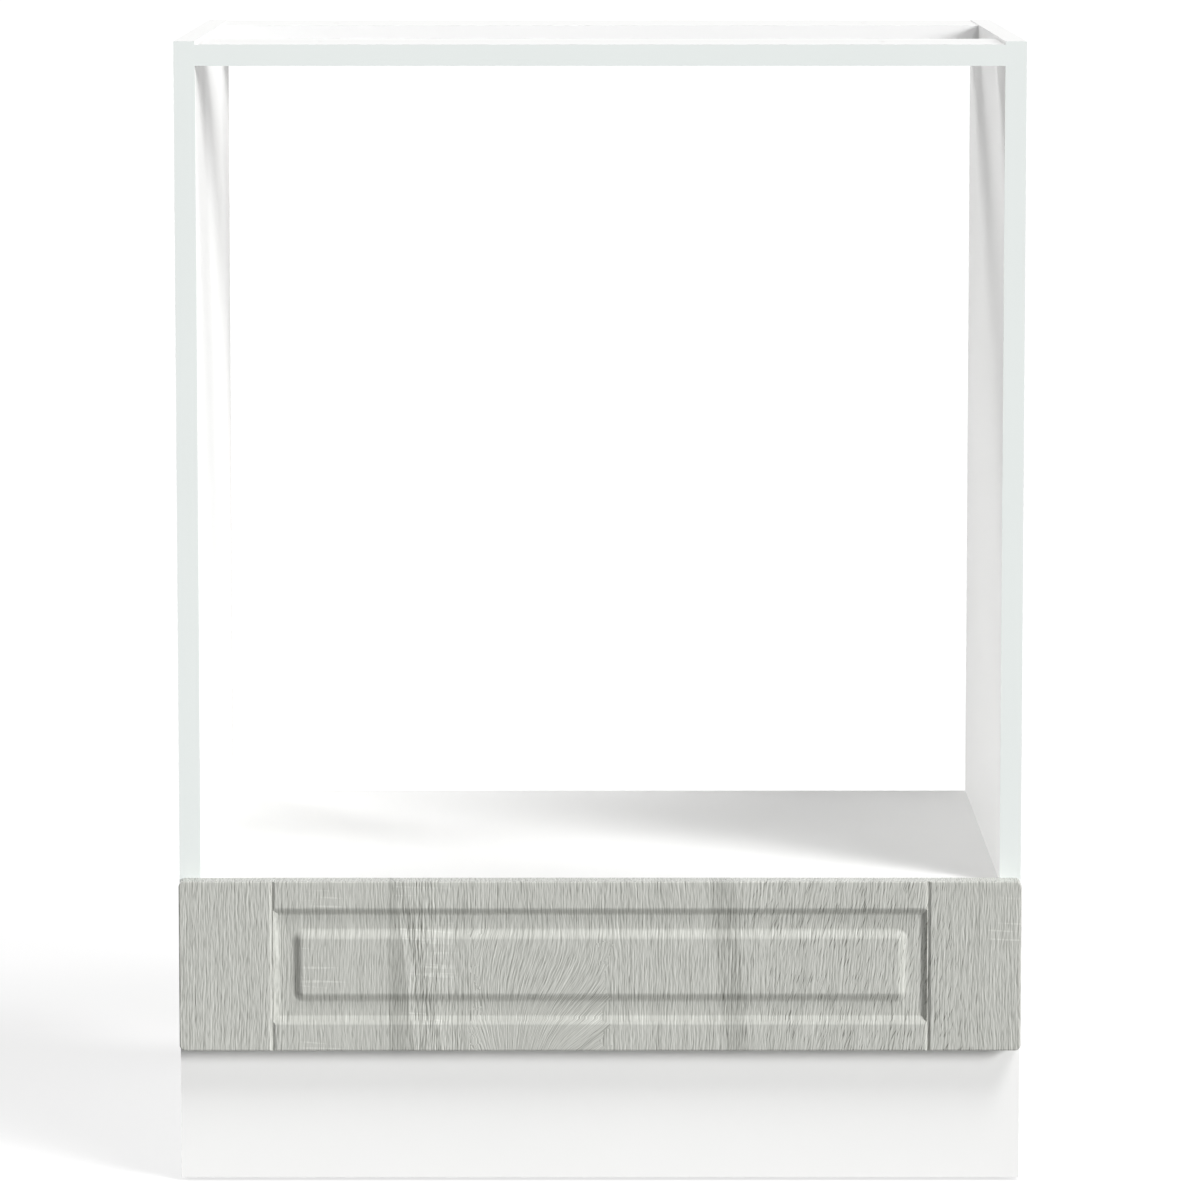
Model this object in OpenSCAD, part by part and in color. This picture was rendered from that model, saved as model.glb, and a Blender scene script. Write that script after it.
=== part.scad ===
// Base oven housing unit with one drawer under the oven shelf.
// The origin is on the floor, at the middle of the overall width and depth.
// +Z is up, the drawer opens towards -Y, and +X is on the user's right.

/* [Carcass] */
// Width over both side panels
cabinet_w = 600; // [450:1:900]
// Depth of the side panels, without the drawer front
carcass_d = 442; // [380:1:600]
// Height from the floor to the tops of the side panels
cabinet_h = 815; // [680:1:1000]
// Thickness of the carcass boards
board_t = 15; // [15:0.5:19]
// Clear height of the drawer bay between the bottom panel and the oven shelf
drawer_bay_h = 87; // [85:1:200]
// Depth of each top rail
rail_d = 110; // [90:1:140]
// How far the front rail's top lies below the tops of the sides
front_rail_drop = 2.3; // [0:0.1:5]
// How far the back rail's top lies below the tops of the sides
back_rail_drop = 0.5; // [0:0.1:5]
// Thickness of the edge bands
band_t = 1; // [0.4:0.1:2]
// Thickness of the small back panel behind the drawer bay
back_panel_t = 3; // [2.5:0.1:4]

/* [Base] */
// Height of the plinth board
plinth_h = 97; // [70:1:150]
// Thickness of the plinth board
plinth_t = 15; // [15:0.5:19]
// Gap between the floor and the plinth board
plinth_floor_gap = 2.5; // [1:0.5:10]
// Height of the floor glides under the side panels
glide_h = 3; // [2:0.5:5]
// Diameter of the floor glides
glide_d = 14; // [10:0.5:15]

/* [Drawer front] */
// Thickness of the drawer front
front_t = 18; // [16:0.5:22]
// Gap between the drawer front's edge and the cabinet's outer side
front_side_gap = 0.25; // [0:0.05:2]
// How far the front hangs over the top of the plinth
front_laps_plinth = 1.5; // [0:0.5:4]
// How far the front's top edge stands above the oven shelf
front_over_shelf = 3; // [0:0.5:6]
// Radius of the front's four corners
front_corner_r = 4; // [2.5:0.5:8]
// Radius of the rounding along the front's outer edges
front_edge_r = 1.2; // [0.5:0.1:2.5]
// Width of the side stiles, up to the routed step
stile_w = 64.8; // [40:0.1:80]
// Height of the top and bottom rails, up to the routed step
rail_h = 18.5; // [14:0.1:20]
// Width of the wavy step down into the channel
step_w = 6.8; // [4:0.1:8]
// Depth of the channel below the face
channel_depth = 5; // [2:0.1:6]
// Width of the channel's flat floor
channel_floor_w = 8.8; // [6:0.1:12]
// Width of the wavy slope up to the raised field
field_slope_w = 7.8; // [5:0.1:9]
// How far the raised field lies below the face
field_drop = 0.5; // [0:0.1:1.5]
// Radius of the raised field's corners at its top
field_corner_r = 0.6; // [0.2:0.1:3]
// Distance from the front's edge to the middle of the upright grooves beside the stiles
groove_inset = 66.4; // [40:0.1:82]
// Width of those grooves
groove_w = 4.2; // [2:0.1:5]
// Depth of those grooves
groove_depth = 1.6; // [0.5:0.1:2.5]

/* [Drawer box] */
// Thickness of the drawer's sides and back
drawer_board_t = 12; // [12:0.5:16]
// Height of the drawer's sides
drawer_side_h = 60; // [58:1:62]
// Thickness of the drawer's bottom
drawer_bottom_t = 3; // [2.5:0.1:5]
// Height of the bottom's groove above the lower edge of the sides
groove_lift = 9; // [8:0.5:14]
// Depth of that groove in the sides
side_groove_depth = 5; // [4:0.5:6]
// Depth of that groove in the drawer front
front_groove_depth = 6; // [4:0.5:7]
// Rounding of the drawer sides' edges
drawer_edge_r = 1.5; // [1:0.1:2.5]

/* [Roller runners] */
// Room for a runner between the drawer's side and the cabinet's side
runner_room = 12.5; // [12.5:0.1:14]
// Thickness of the runners' steel
steel_t = 1.2; // [1:0.1:1.3]
// Inside radius of the runners' bends
bend_r = 0.8; // [0.5:0.1:1]
// Height of the roller track above the bottom panel
track_lift = 8.2; // [8:0.1:12]
// Height of the drawer profile
drawer_profile_h = 25; // [24:0.5:26]
// Width of the drawer profile's upper flange
drawer_flange_w = 10.5; // [9.5:0.1:10.7]
// Width of the cabinet profile's flanges
track_flange_w = 10.4; // [10:0.1:10.8]
// Height of the track's lips
track_lip_h = 2.5; // [1.5:0.1:3]
// Diameter of the roller at the back of the drawer
rear_roller_d = 16; // [14:0.5:17]
// Diameter of the roller at the front of the cabinet
front_roller_d = 18; // [16:0.5:18.5]
// Width of the rollers
roller_w = 5; // [4.5:0.1:5.2]
// Diameter of the rollers' axles
axle_d = 5; // [4:0.5:6]
// How much of the runner's length stays inside at full travel
runner_loss = 100; // [80:5:150]

/* [Fittings] */
// Diameter of the carcass dowels
dowel_d = 8; // [6:0.5:8]
// Length of the carcass dowels
dowel_l = 30; // [25:1:35]
// Diameter of the cam locks
cam_d = 15; // [12:0.5:15]
// Distance from a board's end to the middle of its cam lock
cam_backset = 24; // [22:0.5:34]
// Diameter of the worktop screw holes in the top rails
worktop_hole_d = 5; // [4:0.5:8]
// Distance from a side panel's inner face to those holes
worktop_hole_inset = 85; // [60:1:120]

/* [Hidden] */

// Roundness of bores, pins and rollers, and straight steps in a drawn curve and in a wave
$fn = 48;
curve_steps = 8;
wave_steps = 12;

// Overrun of a cut past the face it opens, and the clearances of what fits together
over = 1;
fit = 0.05;
panel_gap = 0.5;
groove_play = 0.1;
bore_extra = 0.5;

// Finishes
melamine_white = "#f4f5f3";
band_white = "#e9efed";
oak_grey = "#bebfba";
beech = "#d9b98a";
coated_steel = "#eceae4";
zinc = "#a9adb0";
bright_steel = "#c3c6c8";
nylon_white = "#f2f2ee";
glide_grey = "#8d8f90";

// Walls of the carcass in plan
half_w = cabinet_w / 2;
inner_x = half_w - board_t;
carcass_y0 = (front_t - carcass_d) / 2;
carcass_y1 = carcass_y0 + carcass_d;
board_y0 = carcass_y0 + band_t;
wide_y1 = carcass_y1 - back_panel_t;
plinth_y1 = carcass_y0 + plinth_t;

// Levels of the carcass
plinth_z1 = plinth_floor_gap + plinth_h;
bottom_z0 = plinth_z1 + panel_gap;
bottom_z1 = bottom_z0 + board_t;
shelf_z0 = bottom_z1 + drawer_bay_h;
shelf_z1 = shelf_z0 + board_t;
front_rail_z0 = cabinet_h - front_rail_drop - board_t;
back_rail_z0 = cabinet_h - back_rail_drop - board_t;
back_rail_y0 = carcass_y1 - rail_d;
front_rail_mid_y = carcass_y0 + rail_d / 2;
back_rail_mid_y = carcass_y1 - rail_d / 2;

// Corner joints of the carcass: a board's underside, its bolts' places and its dowels' places
joint_inset = 50;
joint_pitch = 32;
wide_bolt_ys = [carcass_y0 + joint_inset, wide_y1 - joint_inset];
wide_dowel_ys = [wide_bolt_ys[0] + joint_pitch, wide_bolt_ys[1] - joint_pitch];
bottom_joint = [bottom_z0, wide_bolt_ys, wide_dowel_ys];
shelf_joint = [shelf_z0, wide_bolt_ys, wide_dowel_ys];
front_rail_joint = [
    front_rail_z0, [front_rail_mid_y], [front_rail_mid_y - joint_pitch, front_rail_mid_y + joint_pitch]
];
back_rail_joint = [
    back_rail_z0, [back_rail_mid_y], [back_rail_mid_y - joint_pitch, back_rail_mid_y + joint_pitch]
];
carcass_joints = [bottom_joint, shelf_joint, front_rail_joint, back_rail_joint];

// Cam locks and their bolts
cam_skin = 3;
drawer_cam_skin = 2.5;
cam_cross_l = 8;
cam_cross_w = 1.4;
cam_cross_depth = 1.8;
bolt_way_d = 8;
bolt_thread_d = 5;
bolt_thread_l = 11;
bolt_collar_d = 7.4;
bolt_collar_l = 3;
bolt_shank_d = 6;
bolt_neck_d = 4;
bolt_neck_l = 5;
bolt_head_d = 7;
bolt_head_l = 2.4;
dowel_in_side = 10;
dowel_chamfer = 1;

// Floor glides
glide_inset = 25;
glide_pin_d = 2.5;
glide_pin_l = 12;
glide_chamfer = 0.8;
glide_ys = [plinth_y1 + glide_inset, carcass_y1 - glide_inset];

// Angle brackets that hold the plinth
bracket_leg = 20;
bracket_t = 1.5;
bracket_w = 25;
bracket_bend_r = 1.5;
bracket_z0 = 40;
bracket_screw_offset = 12;
bracket_screw_l = 12;
screw_d = 3.5;
pan_head_d = 6.5;
pan_head_h = 1.8;

// Nails and their spacing
nail_d = 1.6;
nail_l = 20;
nail_head_d = 3.6;
nail_head_t = 0.6;
nail_inset = 55;
nail_pitch = 155;

// The drawer front, and its cut shape from the face inwards
front_z0 = plinth_z1 - front_laps_plinth;
front_z1 = shelf_z1 + front_over_shelf;
front_w = cabinet_w - 2 * front_side_gap;
front_h = front_z1 - front_z0;
front_mid_z = (front_z0 + front_z1) / 2;
front_face_y = carcass_y0 - front_t;
pocket_w = front_w - 2 * stile_w;
pocket_h = front_h - 2 * rail_h;
field_w = pocket_w - 2 * (step_w + channel_floor_w);
field_h = pocket_h - 2 * (step_w + channel_floor_w);

// Runners: the track is the face that the rear rollers run on
runner_step = 50;
runner_setback = 3;
runner_end_room = 5;
runner_max_l = carcass_d - back_panel_t - runner_setback - runner_end_room;
runner_l = floor(runner_max_l / runner_step) * runner_step;
drawer_travel = runner_l - runner_loss;
roller_gap = 0.1;
track_play = 0.5;
flange_clear = 1.2;
track_z = bottom_z1 + track_lift;
track_h = rear_roller_d + roller_gap + track_play;
drawer_flange_z0 = track_z + track_h + steel_t + flange_clear;
drawer_profile_z1 = drawer_flange_z0 + steel_t;
drawer_profile_z0 = drawer_profile_z1 - drawer_profile_h;
track_y0 = carcass_y0 + runner_setback;
track_y1 = track_y0 + runner_l;
track_nose = 24;

// The drawer box
drawer_x = inner_x - runner_room;
drawer_inner_x = drawer_x - drawer_board_t;
drawer_z0 = drawer_profile_z0 + steel_t;
drawer_z1 = drawer_z0 + drawer_side_h;
drawer_y1 = carcass_y0 + runner_l;
drawer_back_y0 = drawer_y1 - drawer_board_t;
bottom_groove_z0 = drawer_z0 + groove_lift;
drawer_bottom_z0 = bottom_groove_z0 + groove_play;
drawer_bottom_z1 = drawer_bottom_z0 + drawer_bottom_t;
profile_front_gap = 1;

// Rollers: each turns on a headed axle riveted to a runner's web
roller_inset = 3.8;
roller_recess_d = 9;
roller_recess_l = 1.2;
roller_chamfer = 0.6;
roller_rim_t = 2.2;
roller_hub_d = 9.5;
roller_dish = 1.2;
axle_shoulder_d = 8;
axle_head_d = 7.5;
axle_head_l = 0.9;
axle_end_gap = 0.15;
roller_x1 = inner_x - roller_inset;
roller_x0 = roller_x1 - roller_w;
rear_roller_y = drawer_y1 - 10;
rear_roller_z = track_z + roller_gap + rear_roller_d / 2;
front_roller_y = track_y0 + track_nose / 2;
front_roller_z = drawer_flange_z0 - roller_gap - front_roller_d / 2;

// The tab in the track that stops the rear roller at full travel
stop_tab_h = 5;
stop_gap = 0.3;
stop_tab_z0 = track_z + track_h - stop_tab_h;
stop_y = rear_roller_y - drawer_travel - stop_gap
    - sqrt(pow(rear_roller_d / 2, 2) - pow(stop_tab_z0 - rear_roller_z, 2));

// Screws of the runners
track_screw_inset = 37;
track_screw_l = 13;
track_screw_head_d = 6.5;
track_screw_proud = 0.9;
track_screw_ys = [carcass_y0 + track_screw_inset, (track_y0 + track_y1) / 2, track_y1 - track_screw_inset];
track_screw_z = track_z + track_h / 2;
profile_screw_d = 3;
profile_screw_l = 12;
profile_screw_head_d = 5.4;
profile_screw_head_h = 1.5;
profile_screw_x = drawer_x - 4;
profile_screw_inset = 35;
profile_screw_ys = [
    carcass_y0 + profile_screw_inset, (carcass_y0 + drawer_y1) / 2, drawer_y1 - profile_screw_inset
];

// Joints of the drawer box
drawer_dowel_d = 6;
drawer_dowel_l = 25;
drawer_mid_x = drawer_x - drawer_board_t / 2;
drawer_cam_z = drawer_profile_z1 + cam_d / 2 + 4.7;
drawer_dowel_zs = [drawer_z0 + 16, drawer_z1 - 6.5];
back_screw_d = 4;
back_screw_l = 40;
back_screw_head_d = 7.5;
back_screw_zs = [drawer_profile_z1 + 7, drawer_z1 - 10];
back_mid_y = drawer_y1 - drawer_board_t / 2;

// ---- Helpers ----

// Points on an arc round c, from angle a0 to angle a1
function arc(c, r, a0, a1, n = curve_steps) = [
    for (i = [0 : n])
        let (a = a0 + (a1 - a0) * i / n)
        [c[0] + r * cos(a), c[1] + r * sin(a)]
];

function reversed(points) = [for (i = [len(points) - 1 : -1 : 0]) points[i]];

// Unit direction from one point to the next
function heading(a, b) = (b - a) / norm(b - a);

// Evenly spaced places over a span, an inset from each end and about a pitch apart
function spread(span, inset, pitch) =
    let (reach = span - 2 * inset, n = max(1, round(reach / pitch)))
    [for (i = [0 : n]) -reach / 2 + reach * i / n];

// One side of a folded sheet: path is its middle line with square bends, side is +1 left or -1 right
function sheet_side(path, t, r, side) =
    let (last = len(path) - 1, mid_r = r + t / 2)
    [
        for (i = [0 : last])
            let (
                u = heading(path[max(i - 1, 0)], path[max(i, 1)]),
                v = heading(path[min(i, last - 1)], path[min(i + 1, last)]),
                left = [-u[1], u[0]],
                turn = u[0] * v[1] - u[1] * v[0],
                centre = path[i] - u * mid_r + left * turn * mid_r,
                a0 = atan2(-left[1] * turn, -left[0] * turn)
            )
            each (i == 0 || i == last)
                ? [path[i] + left * side * t / 2]
                : arc(centre, mid_r - side * turn * t / 2, a0, a0 + 90 * turn, 4)
    ];

function folded_sheet(path, t, r) =
    concat(sheet_side(path, t, r, 1), reversed(sheet_side(path, t, r, -1)));

// Block between two opposite corners
module block(lo, hi) {
    translate(lo)
        cube(hi - lo);
}

// Prism along +X from x0, its outline given as [y, z]
module prism_x(x0, length, outline) {
    translate([x0, 0, 0])
        rotate([90, 0, 90])
            linear_extrude(length)
                polygon(outline);
}

// Prism along +Y from y0, its outline given as [x, z]
module prism_y(y0, length, outline) {
    translate([0, y0 + length, 0])
        rotate([90, 0, 0])
            linear_extrude(length)
                polygon(outline);
}

// What is drawn on +Z from the origin, turned to run from p along an axis
module along_x(p) {
    translate(p)
        rotate([0, 90, 0])
            children();
}

module along_y(p) {
    translate(p)
        rotate([-90, 0, 0])
            children();
}

// What is drawn for the right side, drawn for the left
module left_hand() {
    mirror([1, 0, 0])
        children();
}

module both_hands() {
    children();
    left_hand()
        children();
}

// ---- Small fittings, drawn on +Z ----

// Dowel with bevelled ends, from z = 0 up
module dowel(d, length) {
    r = d / 2;
    c = dowel_chamfer;
    rotate_extrude()
        polygon([[0, 0], [r - c, 0], [r, c], [r, length - c], [r - c, length], [0, length]]);
}

// Bolt of a cam lock: its thread lies below z = 0 and its head at z = reach
module cam_bolt(reach) {
    head_z0 = reach - bolt_head_l / 2;
    neck_z0 = head_z0 - bolt_neck_l;
    rotate_extrude()
        polygon([
            [0, -bolt_thread_l],
            [bolt_thread_d / 2 - 1, -bolt_thread_l],
            [bolt_thread_d / 2, 1 - bolt_thread_l],
            [bolt_thread_d / 2, 0],
            [bolt_collar_d / 2, 0],
            [bolt_collar_d / 2, bolt_collar_l],
            [bolt_shank_d / 2, bolt_collar_l],
            [bolt_shank_d / 2, neck_z0 - 1],
            [bolt_neck_d / 2, neck_z0],
            [bolt_neck_d / 2, head_z0],
            [bolt_head_d / 2, head_z0],
            [bolt_head_d / 2, head_z0 + bolt_head_l],
            [0, head_z0 + bolt_head_l]
        ]);
}

// Cam lock with its face at z = 0, its bolt coming in from +X at bolt_z
module cam_lock(height, bolt_z) {
    difference() {
        cylinder(d = cam_d, h = height);
        along_x([0, 0, bolt_z])
            cylinder(d = bolt_way_d, h = cam_d);
        translate([0, 0, bolt_z])
            sphere(d = bolt_way_d);
        for (turn = [0, 90])
            rotate(turn)
                translate([-cam_cross_l / 2, -cam_cross_w / 2, -over])
                    cube([cam_cross_l, cam_cross_w, cam_cross_depth + over]);
    }
}

// Pocket for a cam lock and the way of its bolt out to x = cam_backset
module cam_pocket(height, bolt_z) {
    translate([0, 0, -over])
        cylinder(d = cam_d + 2 * fit, h = height + fit + over);
    along_x([0, 0, bolt_z])
        cylinder(d = bolt_way_d, h = cam_backset + over);
}

// Screw with a pan head above z = 0 and its shank below
module pan_screw(d, length, head_d, head_h) {
    rotate_extrude()
        polygon([
            [0, -length], [d / 2, 1.5 * d - length], [d / 2, 0], [head_d / 2, 0],
            [head_d / 2, head_h * 0.4], [head_d / 2 - head_h * 0.6, head_h], [0, head_h]
        ]);
}

// Outline of a countersunk screw with its head's flat at z = 0; extra widens it into its hole
function countersunk(d, length, head_d, extra) =
    let (r = d / 2 + extra, head_r = head_d / 2 + extra, cone = (head_d - d) / 2, rim = 0.3)
    [
        [0, -length - extra], [r, 1.5 * d - length - extra], [r, -cone - rim], [head_r, -rim],
        [head_r, 0], [0, 0]
    ];

module countersunk_screw(d, length, head_d) {
    rotate_extrude()
        polygon(countersunk(d, length, head_d, 0));
}

module countersunk_hole(d, length, head_d) {
    rotate_extrude()
        polygon(countersunk(d, length, head_d, fit));
    translate([0, 0, -fit])
        cylinder(d = head_d + 2 * fit, h = over + fit);
}

// Flat-headed nail driven down from z = 0, its head flush
module nail() {
    rotate_extrude()
        polygon([
            [0, -nail_l], [nail_d / 2, 2 * nail_d - nail_l], [nail_d / 2, -nail_head_t],
            [nail_head_d / 2, -nail_head_t], [nail_head_d / 2, 0], [0, 0]
        ]);
}

module nail_hole() {
    translate([0, 0, -nail_l - bore_extra])
        cylinder(d = nail_d + 2 * fit, h = nail_l + bore_extra + over);
    translate([0, 0, -nail_head_t - fit])
        cylinder(d = nail_head_d + 2 * fit, h = nail_head_t + fit + over);
}

// ---- Corner joints of the carcass, drawn for the right-hand end ----

module place_bolts(joint) {
    for (y = joint[1])
        translate([inner_x, y, joint[0] + board_t / 2])
            rotate([0, -90, 0])
                children();
}

module place_cams(joint) {
    for (y = joint[1])
        translate([inner_x - cam_backset, y, joint[0]])
            children();
}

module place_dowels(joint) {
    for (y = joint[2])
        along_x([inner_x + dowel_in_side - dowel_l, y, joint[0] + board_t / 2])
            children();
}

// Bores in a board's end: cam pockets from below and dowel bores from the end face
module end_bores(joint) {
    place_cams(joint)
        cam_pocket(board_t - cam_skin, board_t / 2);
    place_dowels(joint)
        translate([0, 0, -bore_extra])
            cylinder(d = dowel_d + 2 * fit, h = dowel_l + bore_extra);
}

// Bores in a side panel's inner face
module side_bores(joint) {
    place_bolts(joint)
        translate([0, 0, -bolt_thread_l - bore_extra])
            cylinder(d = bolt_thread_d + 2 * fit, h = bolt_thread_l + bore_extra + over);
    place_dowels(joint)
        cylinder(d = dowel_d + 2 * fit, h = dowel_l + bore_extra);
}

// ---- Carcass boards ----

module side_panel() {
    difference() {
        prism_x(inner_x, board_t, [
            [board_y0, bottom_z0], [plinth_y1, bottom_z0], [plinth_y1, glide_h],
            [carcass_y1, glide_h], [carcass_y1, cabinet_h], [board_y0, cabinet_h]
        ]);
        for (joint = carcass_joints)
            side_bores(joint);
        place_glides()
            cylinder(d = glide_pin_d + 2 * fit, h = glide_h + glide_pin_l + bore_extra);
        place_side_bracket_screw()
            translate([0, 0, -bracket_screw_l - bore_extra])
                cylinder(d = screw_d + 2 * fit, h = bracket_screw_l + bore_extra);
        place_track_screws()
            countersunk_hole(screw_d, track_screw_l, track_screw_head_d);
    }
}

module side_panel_left() {
    color(melamine_white)
        left_hand()
            side_panel();
}

module side_panel_right() {
    color(melamine_white)
        side_panel();
}

// Board between the side panels, from y0 to y1, bored for its joint at both ends
module cross_board(joint, y0, y1) {
    difference() {
        block([-inner_x, y0, joint[0]], [inner_x, y1, joint[0] + board_t]);
        both_hands()
            end_bores(joint);
        children();
    }
}

module bottom_panel() {
    color(melamine_white)
        cross_board(bottom_joint, board_y0, wide_y1)
            place_back_nails(bottom_z0)
                nail_hole();
}

module oven_shelf() {
    color(melamine_white)
        cross_board(shelf_joint, board_y0, wide_y1)
            place_back_nails(shelf_z0)
                nail_hole();
}

// Holes for the screws that come up through a top rail into the worktop
module worktop_holes(y) {
    both_hands()
        translate([inner_x - worktop_hole_inset, y, cabinet_h - 3 * board_t])
            cylinder(d = worktop_hole_d, h = 4 * board_t);
}

module front_rail() {
    color(melamine_white)
        cross_board(front_rail_joint, board_y0, carcass_y0 + rail_d)
            worktop_holes(front_rail_mid_y);
}

module back_rail() {
    color(melamine_white)
        cross_board(back_rail_joint, back_rail_y0 + band_t, carcass_y1)
            worktop_holes(back_rail_mid_y);
}

module plinth_board() {
    color(melamine_white)
        difference() {
            block([-half_w, carcass_y0, plinth_floor_gap], [half_w, plinth_y1, plinth_z1]);
            both_hands()
                place_plinth_bracket_screw()
                    translate([0, 0, -bracket_screw_l - bore_extra])
                        cylinder(d = screw_d + 2 * fit, h = bracket_screw_l + bore_extra);
        }
}

// Thin back behind the drawer bay, nailed to the bottom panel and the shelf
module lower_back_panel() {
    color(melamine_white)
        difference() {
            block(
                [panel_gap - inner_x, wide_y1, bottom_z0 + panel_gap],
                [inner_x - panel_gap, carcass_y1, shelf_z1 - panel_gap]
            );
            for (z = [bottom_z0, shelf_z0])
                place_back_nails(z)
                    nail_hole();
        }
}

// ---- Edge bands ----

module side_band() {
    block([inner_x, carcass_y0, bottom_z0], [half_w, board_y0, cabinet_h]);
}

module edge_band_left() {
    color(band_white)
        left_hand()
            side_band();
}

module edge_band_right() {
    color(band_white)
        side_band();
}

// Band on a cross board's front edge
module cross_band(y0, z0) {
    color(band_white)
        block([-inner_x, y0, z0], [inner_x, y0 + band_t, z0 + board_t]);
}

module edge_band_front_rail() {
    cross_band(carcass_y0, front_rail_z0);
}

module edge_band_back_rail() {
    cross_band(back_rail_y0, back_rail_z0);
}

module edge_band_shelf() {
    cross_band(carcass_y0, shelf_z0);
}

module edge_band_bottom() {
    cross_band(carcass_y0, bottom_z0);
}

// ---- Carcass fittings ----

module carcass_cam_locks() {
    color(zinc)
        both_hands()
            for (joint = carcass_joints)
                place_cams(joint)
                    cam_lock(board_t - cam_skin, board_t / 2);
}

module carcass_cam_bolts() {
    color(bright_steel)
        both_hands()
            for (joint = carcass_joints)
                place_bolts(joint)
                    cam_bolt(cam_backset);
}

module carcass_dowels() {
    color(beech)
        both_hands()
            for (joint = carcass_joints)
                place_dowels(joint)
                    dowel(dowel_d, dowel_l);
}

module place_glides() {
    for (y = glide_ys)
        translate([half_w - board_t / 2, y, 0])
            children();
}

// Nylon disc with a bevelled foot and a pin up into the side panel
module floor_glide() {
    r = glide_d / 2;
    pin_r = glide_pin_d / 2;
    rotate_extrude()
        polygon([
            [0, 0], [r - glide_chamfer, 0], [r, glide_chamfer], [r, glide_h], [pin_r, glide_h],
            [pin_r, glide_h + glide_pin_l - pin_r], [0, glide_h + glide_pin_l]
        ]);
}

module floor_glides() {
    color(glide_grey)
        both_hands()
            place_glides()
                floor_glide();
}

module place_plinth_bracket_screw() {
    translate([inner_x - bracket_screw_offset, plinth_y1 + bracket_t, bracket_z0 + bracket_w / 2])
        rotate([-90, 0, 0])
            children();
}

module place_side_bracket_screw() {
    translate([inner_x - bracket_t, plinth_y1 + bracket_screw_offset, bracket_z0 + bracket_w / 2])
        rotate([0, -90, 0])
            children();
}

module plinth_bracket() {
    mid = bracket_t / 2;
    path = [
        [inner_x - bracket_leg, plinth_y1 + mid],
        [inner_x - mid, plinth_y1 + mid],
        [inner_x - mid, plinth_y1 + bracket_leg]
    ];
    hole_h = bracket_t + 2 * over;
    difference() {
        translate([0, 0, bracket_z0])
            linear_extrude(bracket_w)
                polygon(folded_sheet(path, bracket_t, bracket_bend_r));
        place_plinth_bracket_screw()
            translate([0, 0, -bracket_t - over])
                cylinder(d = screw_d + 2 * fit, h = hole_h);
        place_side_bracket_screw()
            translate([0, 0, -bracket_t - over])
                cylinder(d = screw_d + 2 * fit, h = hole_h);
    }
}

module plinth_brackets() {
    color(zinc)
        both_hands()
            plinth_bracket();
}

module plinth_bracket_screws() {
    color(bright_steel)
        both_hands() {
            place_plinth_bracket_screw()
                pan_screw(screw_d, bracket_screw_l, pan_head_d, pan_head_h);
            place_side_bracket_screw()
                pan_screw(screw_d, bracket_screw_l, pan_head_d, pan_head_h);
        }
}

// Nails through the back panel into the back edge of the board whose underside is at z0
module place_back_nails(z0) {
    for (x = spread(2 * inner_x, nail_inset, nail_pitch))
        along_y([x, carcass_y1, z0 + board_t / 2])
            children();
}

module back_panel_nails() {
    color(bright_steel)
        for (z = [bottom_z0, shelf_z0])
            place_back_nails(z)
                nail();
}

// ---- Cabinet runners ----

module place_track_screws() {
    for (y = track_screw_ys)
        translate([inner_x - steel_t - track_screw_proud, y, track_screw_z])
            rotate([0, -90, 0])
                children();
}

// C-shaped track with lips, its upper flange cut away over the front roller
module cabinet_runner() {
    web_x = inner_x - steel_t / 2;
    lip_x = inner_x - track_flange_w + steel_t / 2;
    track_top = track_z + track_h;
    path = [
        [lip_x, track_top - track_lip_h],
        [lip_x, track_top + steel_t / 2],
        [web_x, track_top + steel_t / 2],
        [web_x, track_z - steel_t / 2],
        [lip_x, track_z - steel_t / 2],
        [lip_x, track_z + track_lip_h]
    ];
    tab_x0 = lip_x + steel_t / 2 + bend_r;
    tab_x1 = inner_x - steel_t - bend_r;
    difference() {
        prism_y(track_y0, runner_l, folded_sheet(path, steel_t, bend_r));
        block(
            [inner_x - track_flange_w - over, track_y0 - over, track_top - track_lip_h - over],
            [inner_x - steel_t, track_y0 + track_nose, track_top + steel_t + over]
        );
        block([tab_x0, stop_y, track_top - over], [tab_x1, stop_y + stop_tab_h, track_top + steel_t + over]);
        along_x([inner_x - steel_t - over, front_roller_y, front_roller_z])
            cylinder(d = axle_d + 2 * fit, h = steel_t + 2 * over);
        place_track_screws()
            countersunk_hole(screw_d, track_screw_l, track_screw_head_d);
    }
    block([tab_x0, stop_y - steel_t, stop_tab_z0], [tab_x1, stop_y, track_top + steel_t / 2]);
}

module cabinet_runner_left() {
    color(coated_steel)
        left_hand()
            cabinet_runner();
}

module cabinet_runner_right() {
    color(coated_steel)
        cabinet_runner();
}

module cabinet_runner_screws() {
    color(bright_steel)
        both_hands()
            place_track_screws()
                countersunk_screw(screw_d, track_screw_l, track_screw_head_d);
}

// ---- Rollers and their axles ----

// Dished roller from z = 0 to roller_w, with the recess for the axle's head on top
module roller(d) {
    r = d / 2;
    bore_r = axle_d / 2 + fit;
    hub_r = roller_hub_d / 2;
    recess_r = roller_recess_d / 2 - roller_dish;
    recess_z = roller_w - roller_recess_l;
    rim_r = r - roller_rim_t;
    rotate_extrude()
        polygon([
            [bore_r, 0], [hub_r, 0], [hub_r, roller_dish], [rim_r, roller_dish], [rim_r, 0],
            [r - roller_chamfer, 0], [r, roller_chamfer], [r, roller_w - roller_chamfer],
            [r - roller_chamfer, roller_w], [rim_r, roller_w], [recess_r + roller_dish, recess_z],
            [bore_r, recess_z]
        ]);
}

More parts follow.
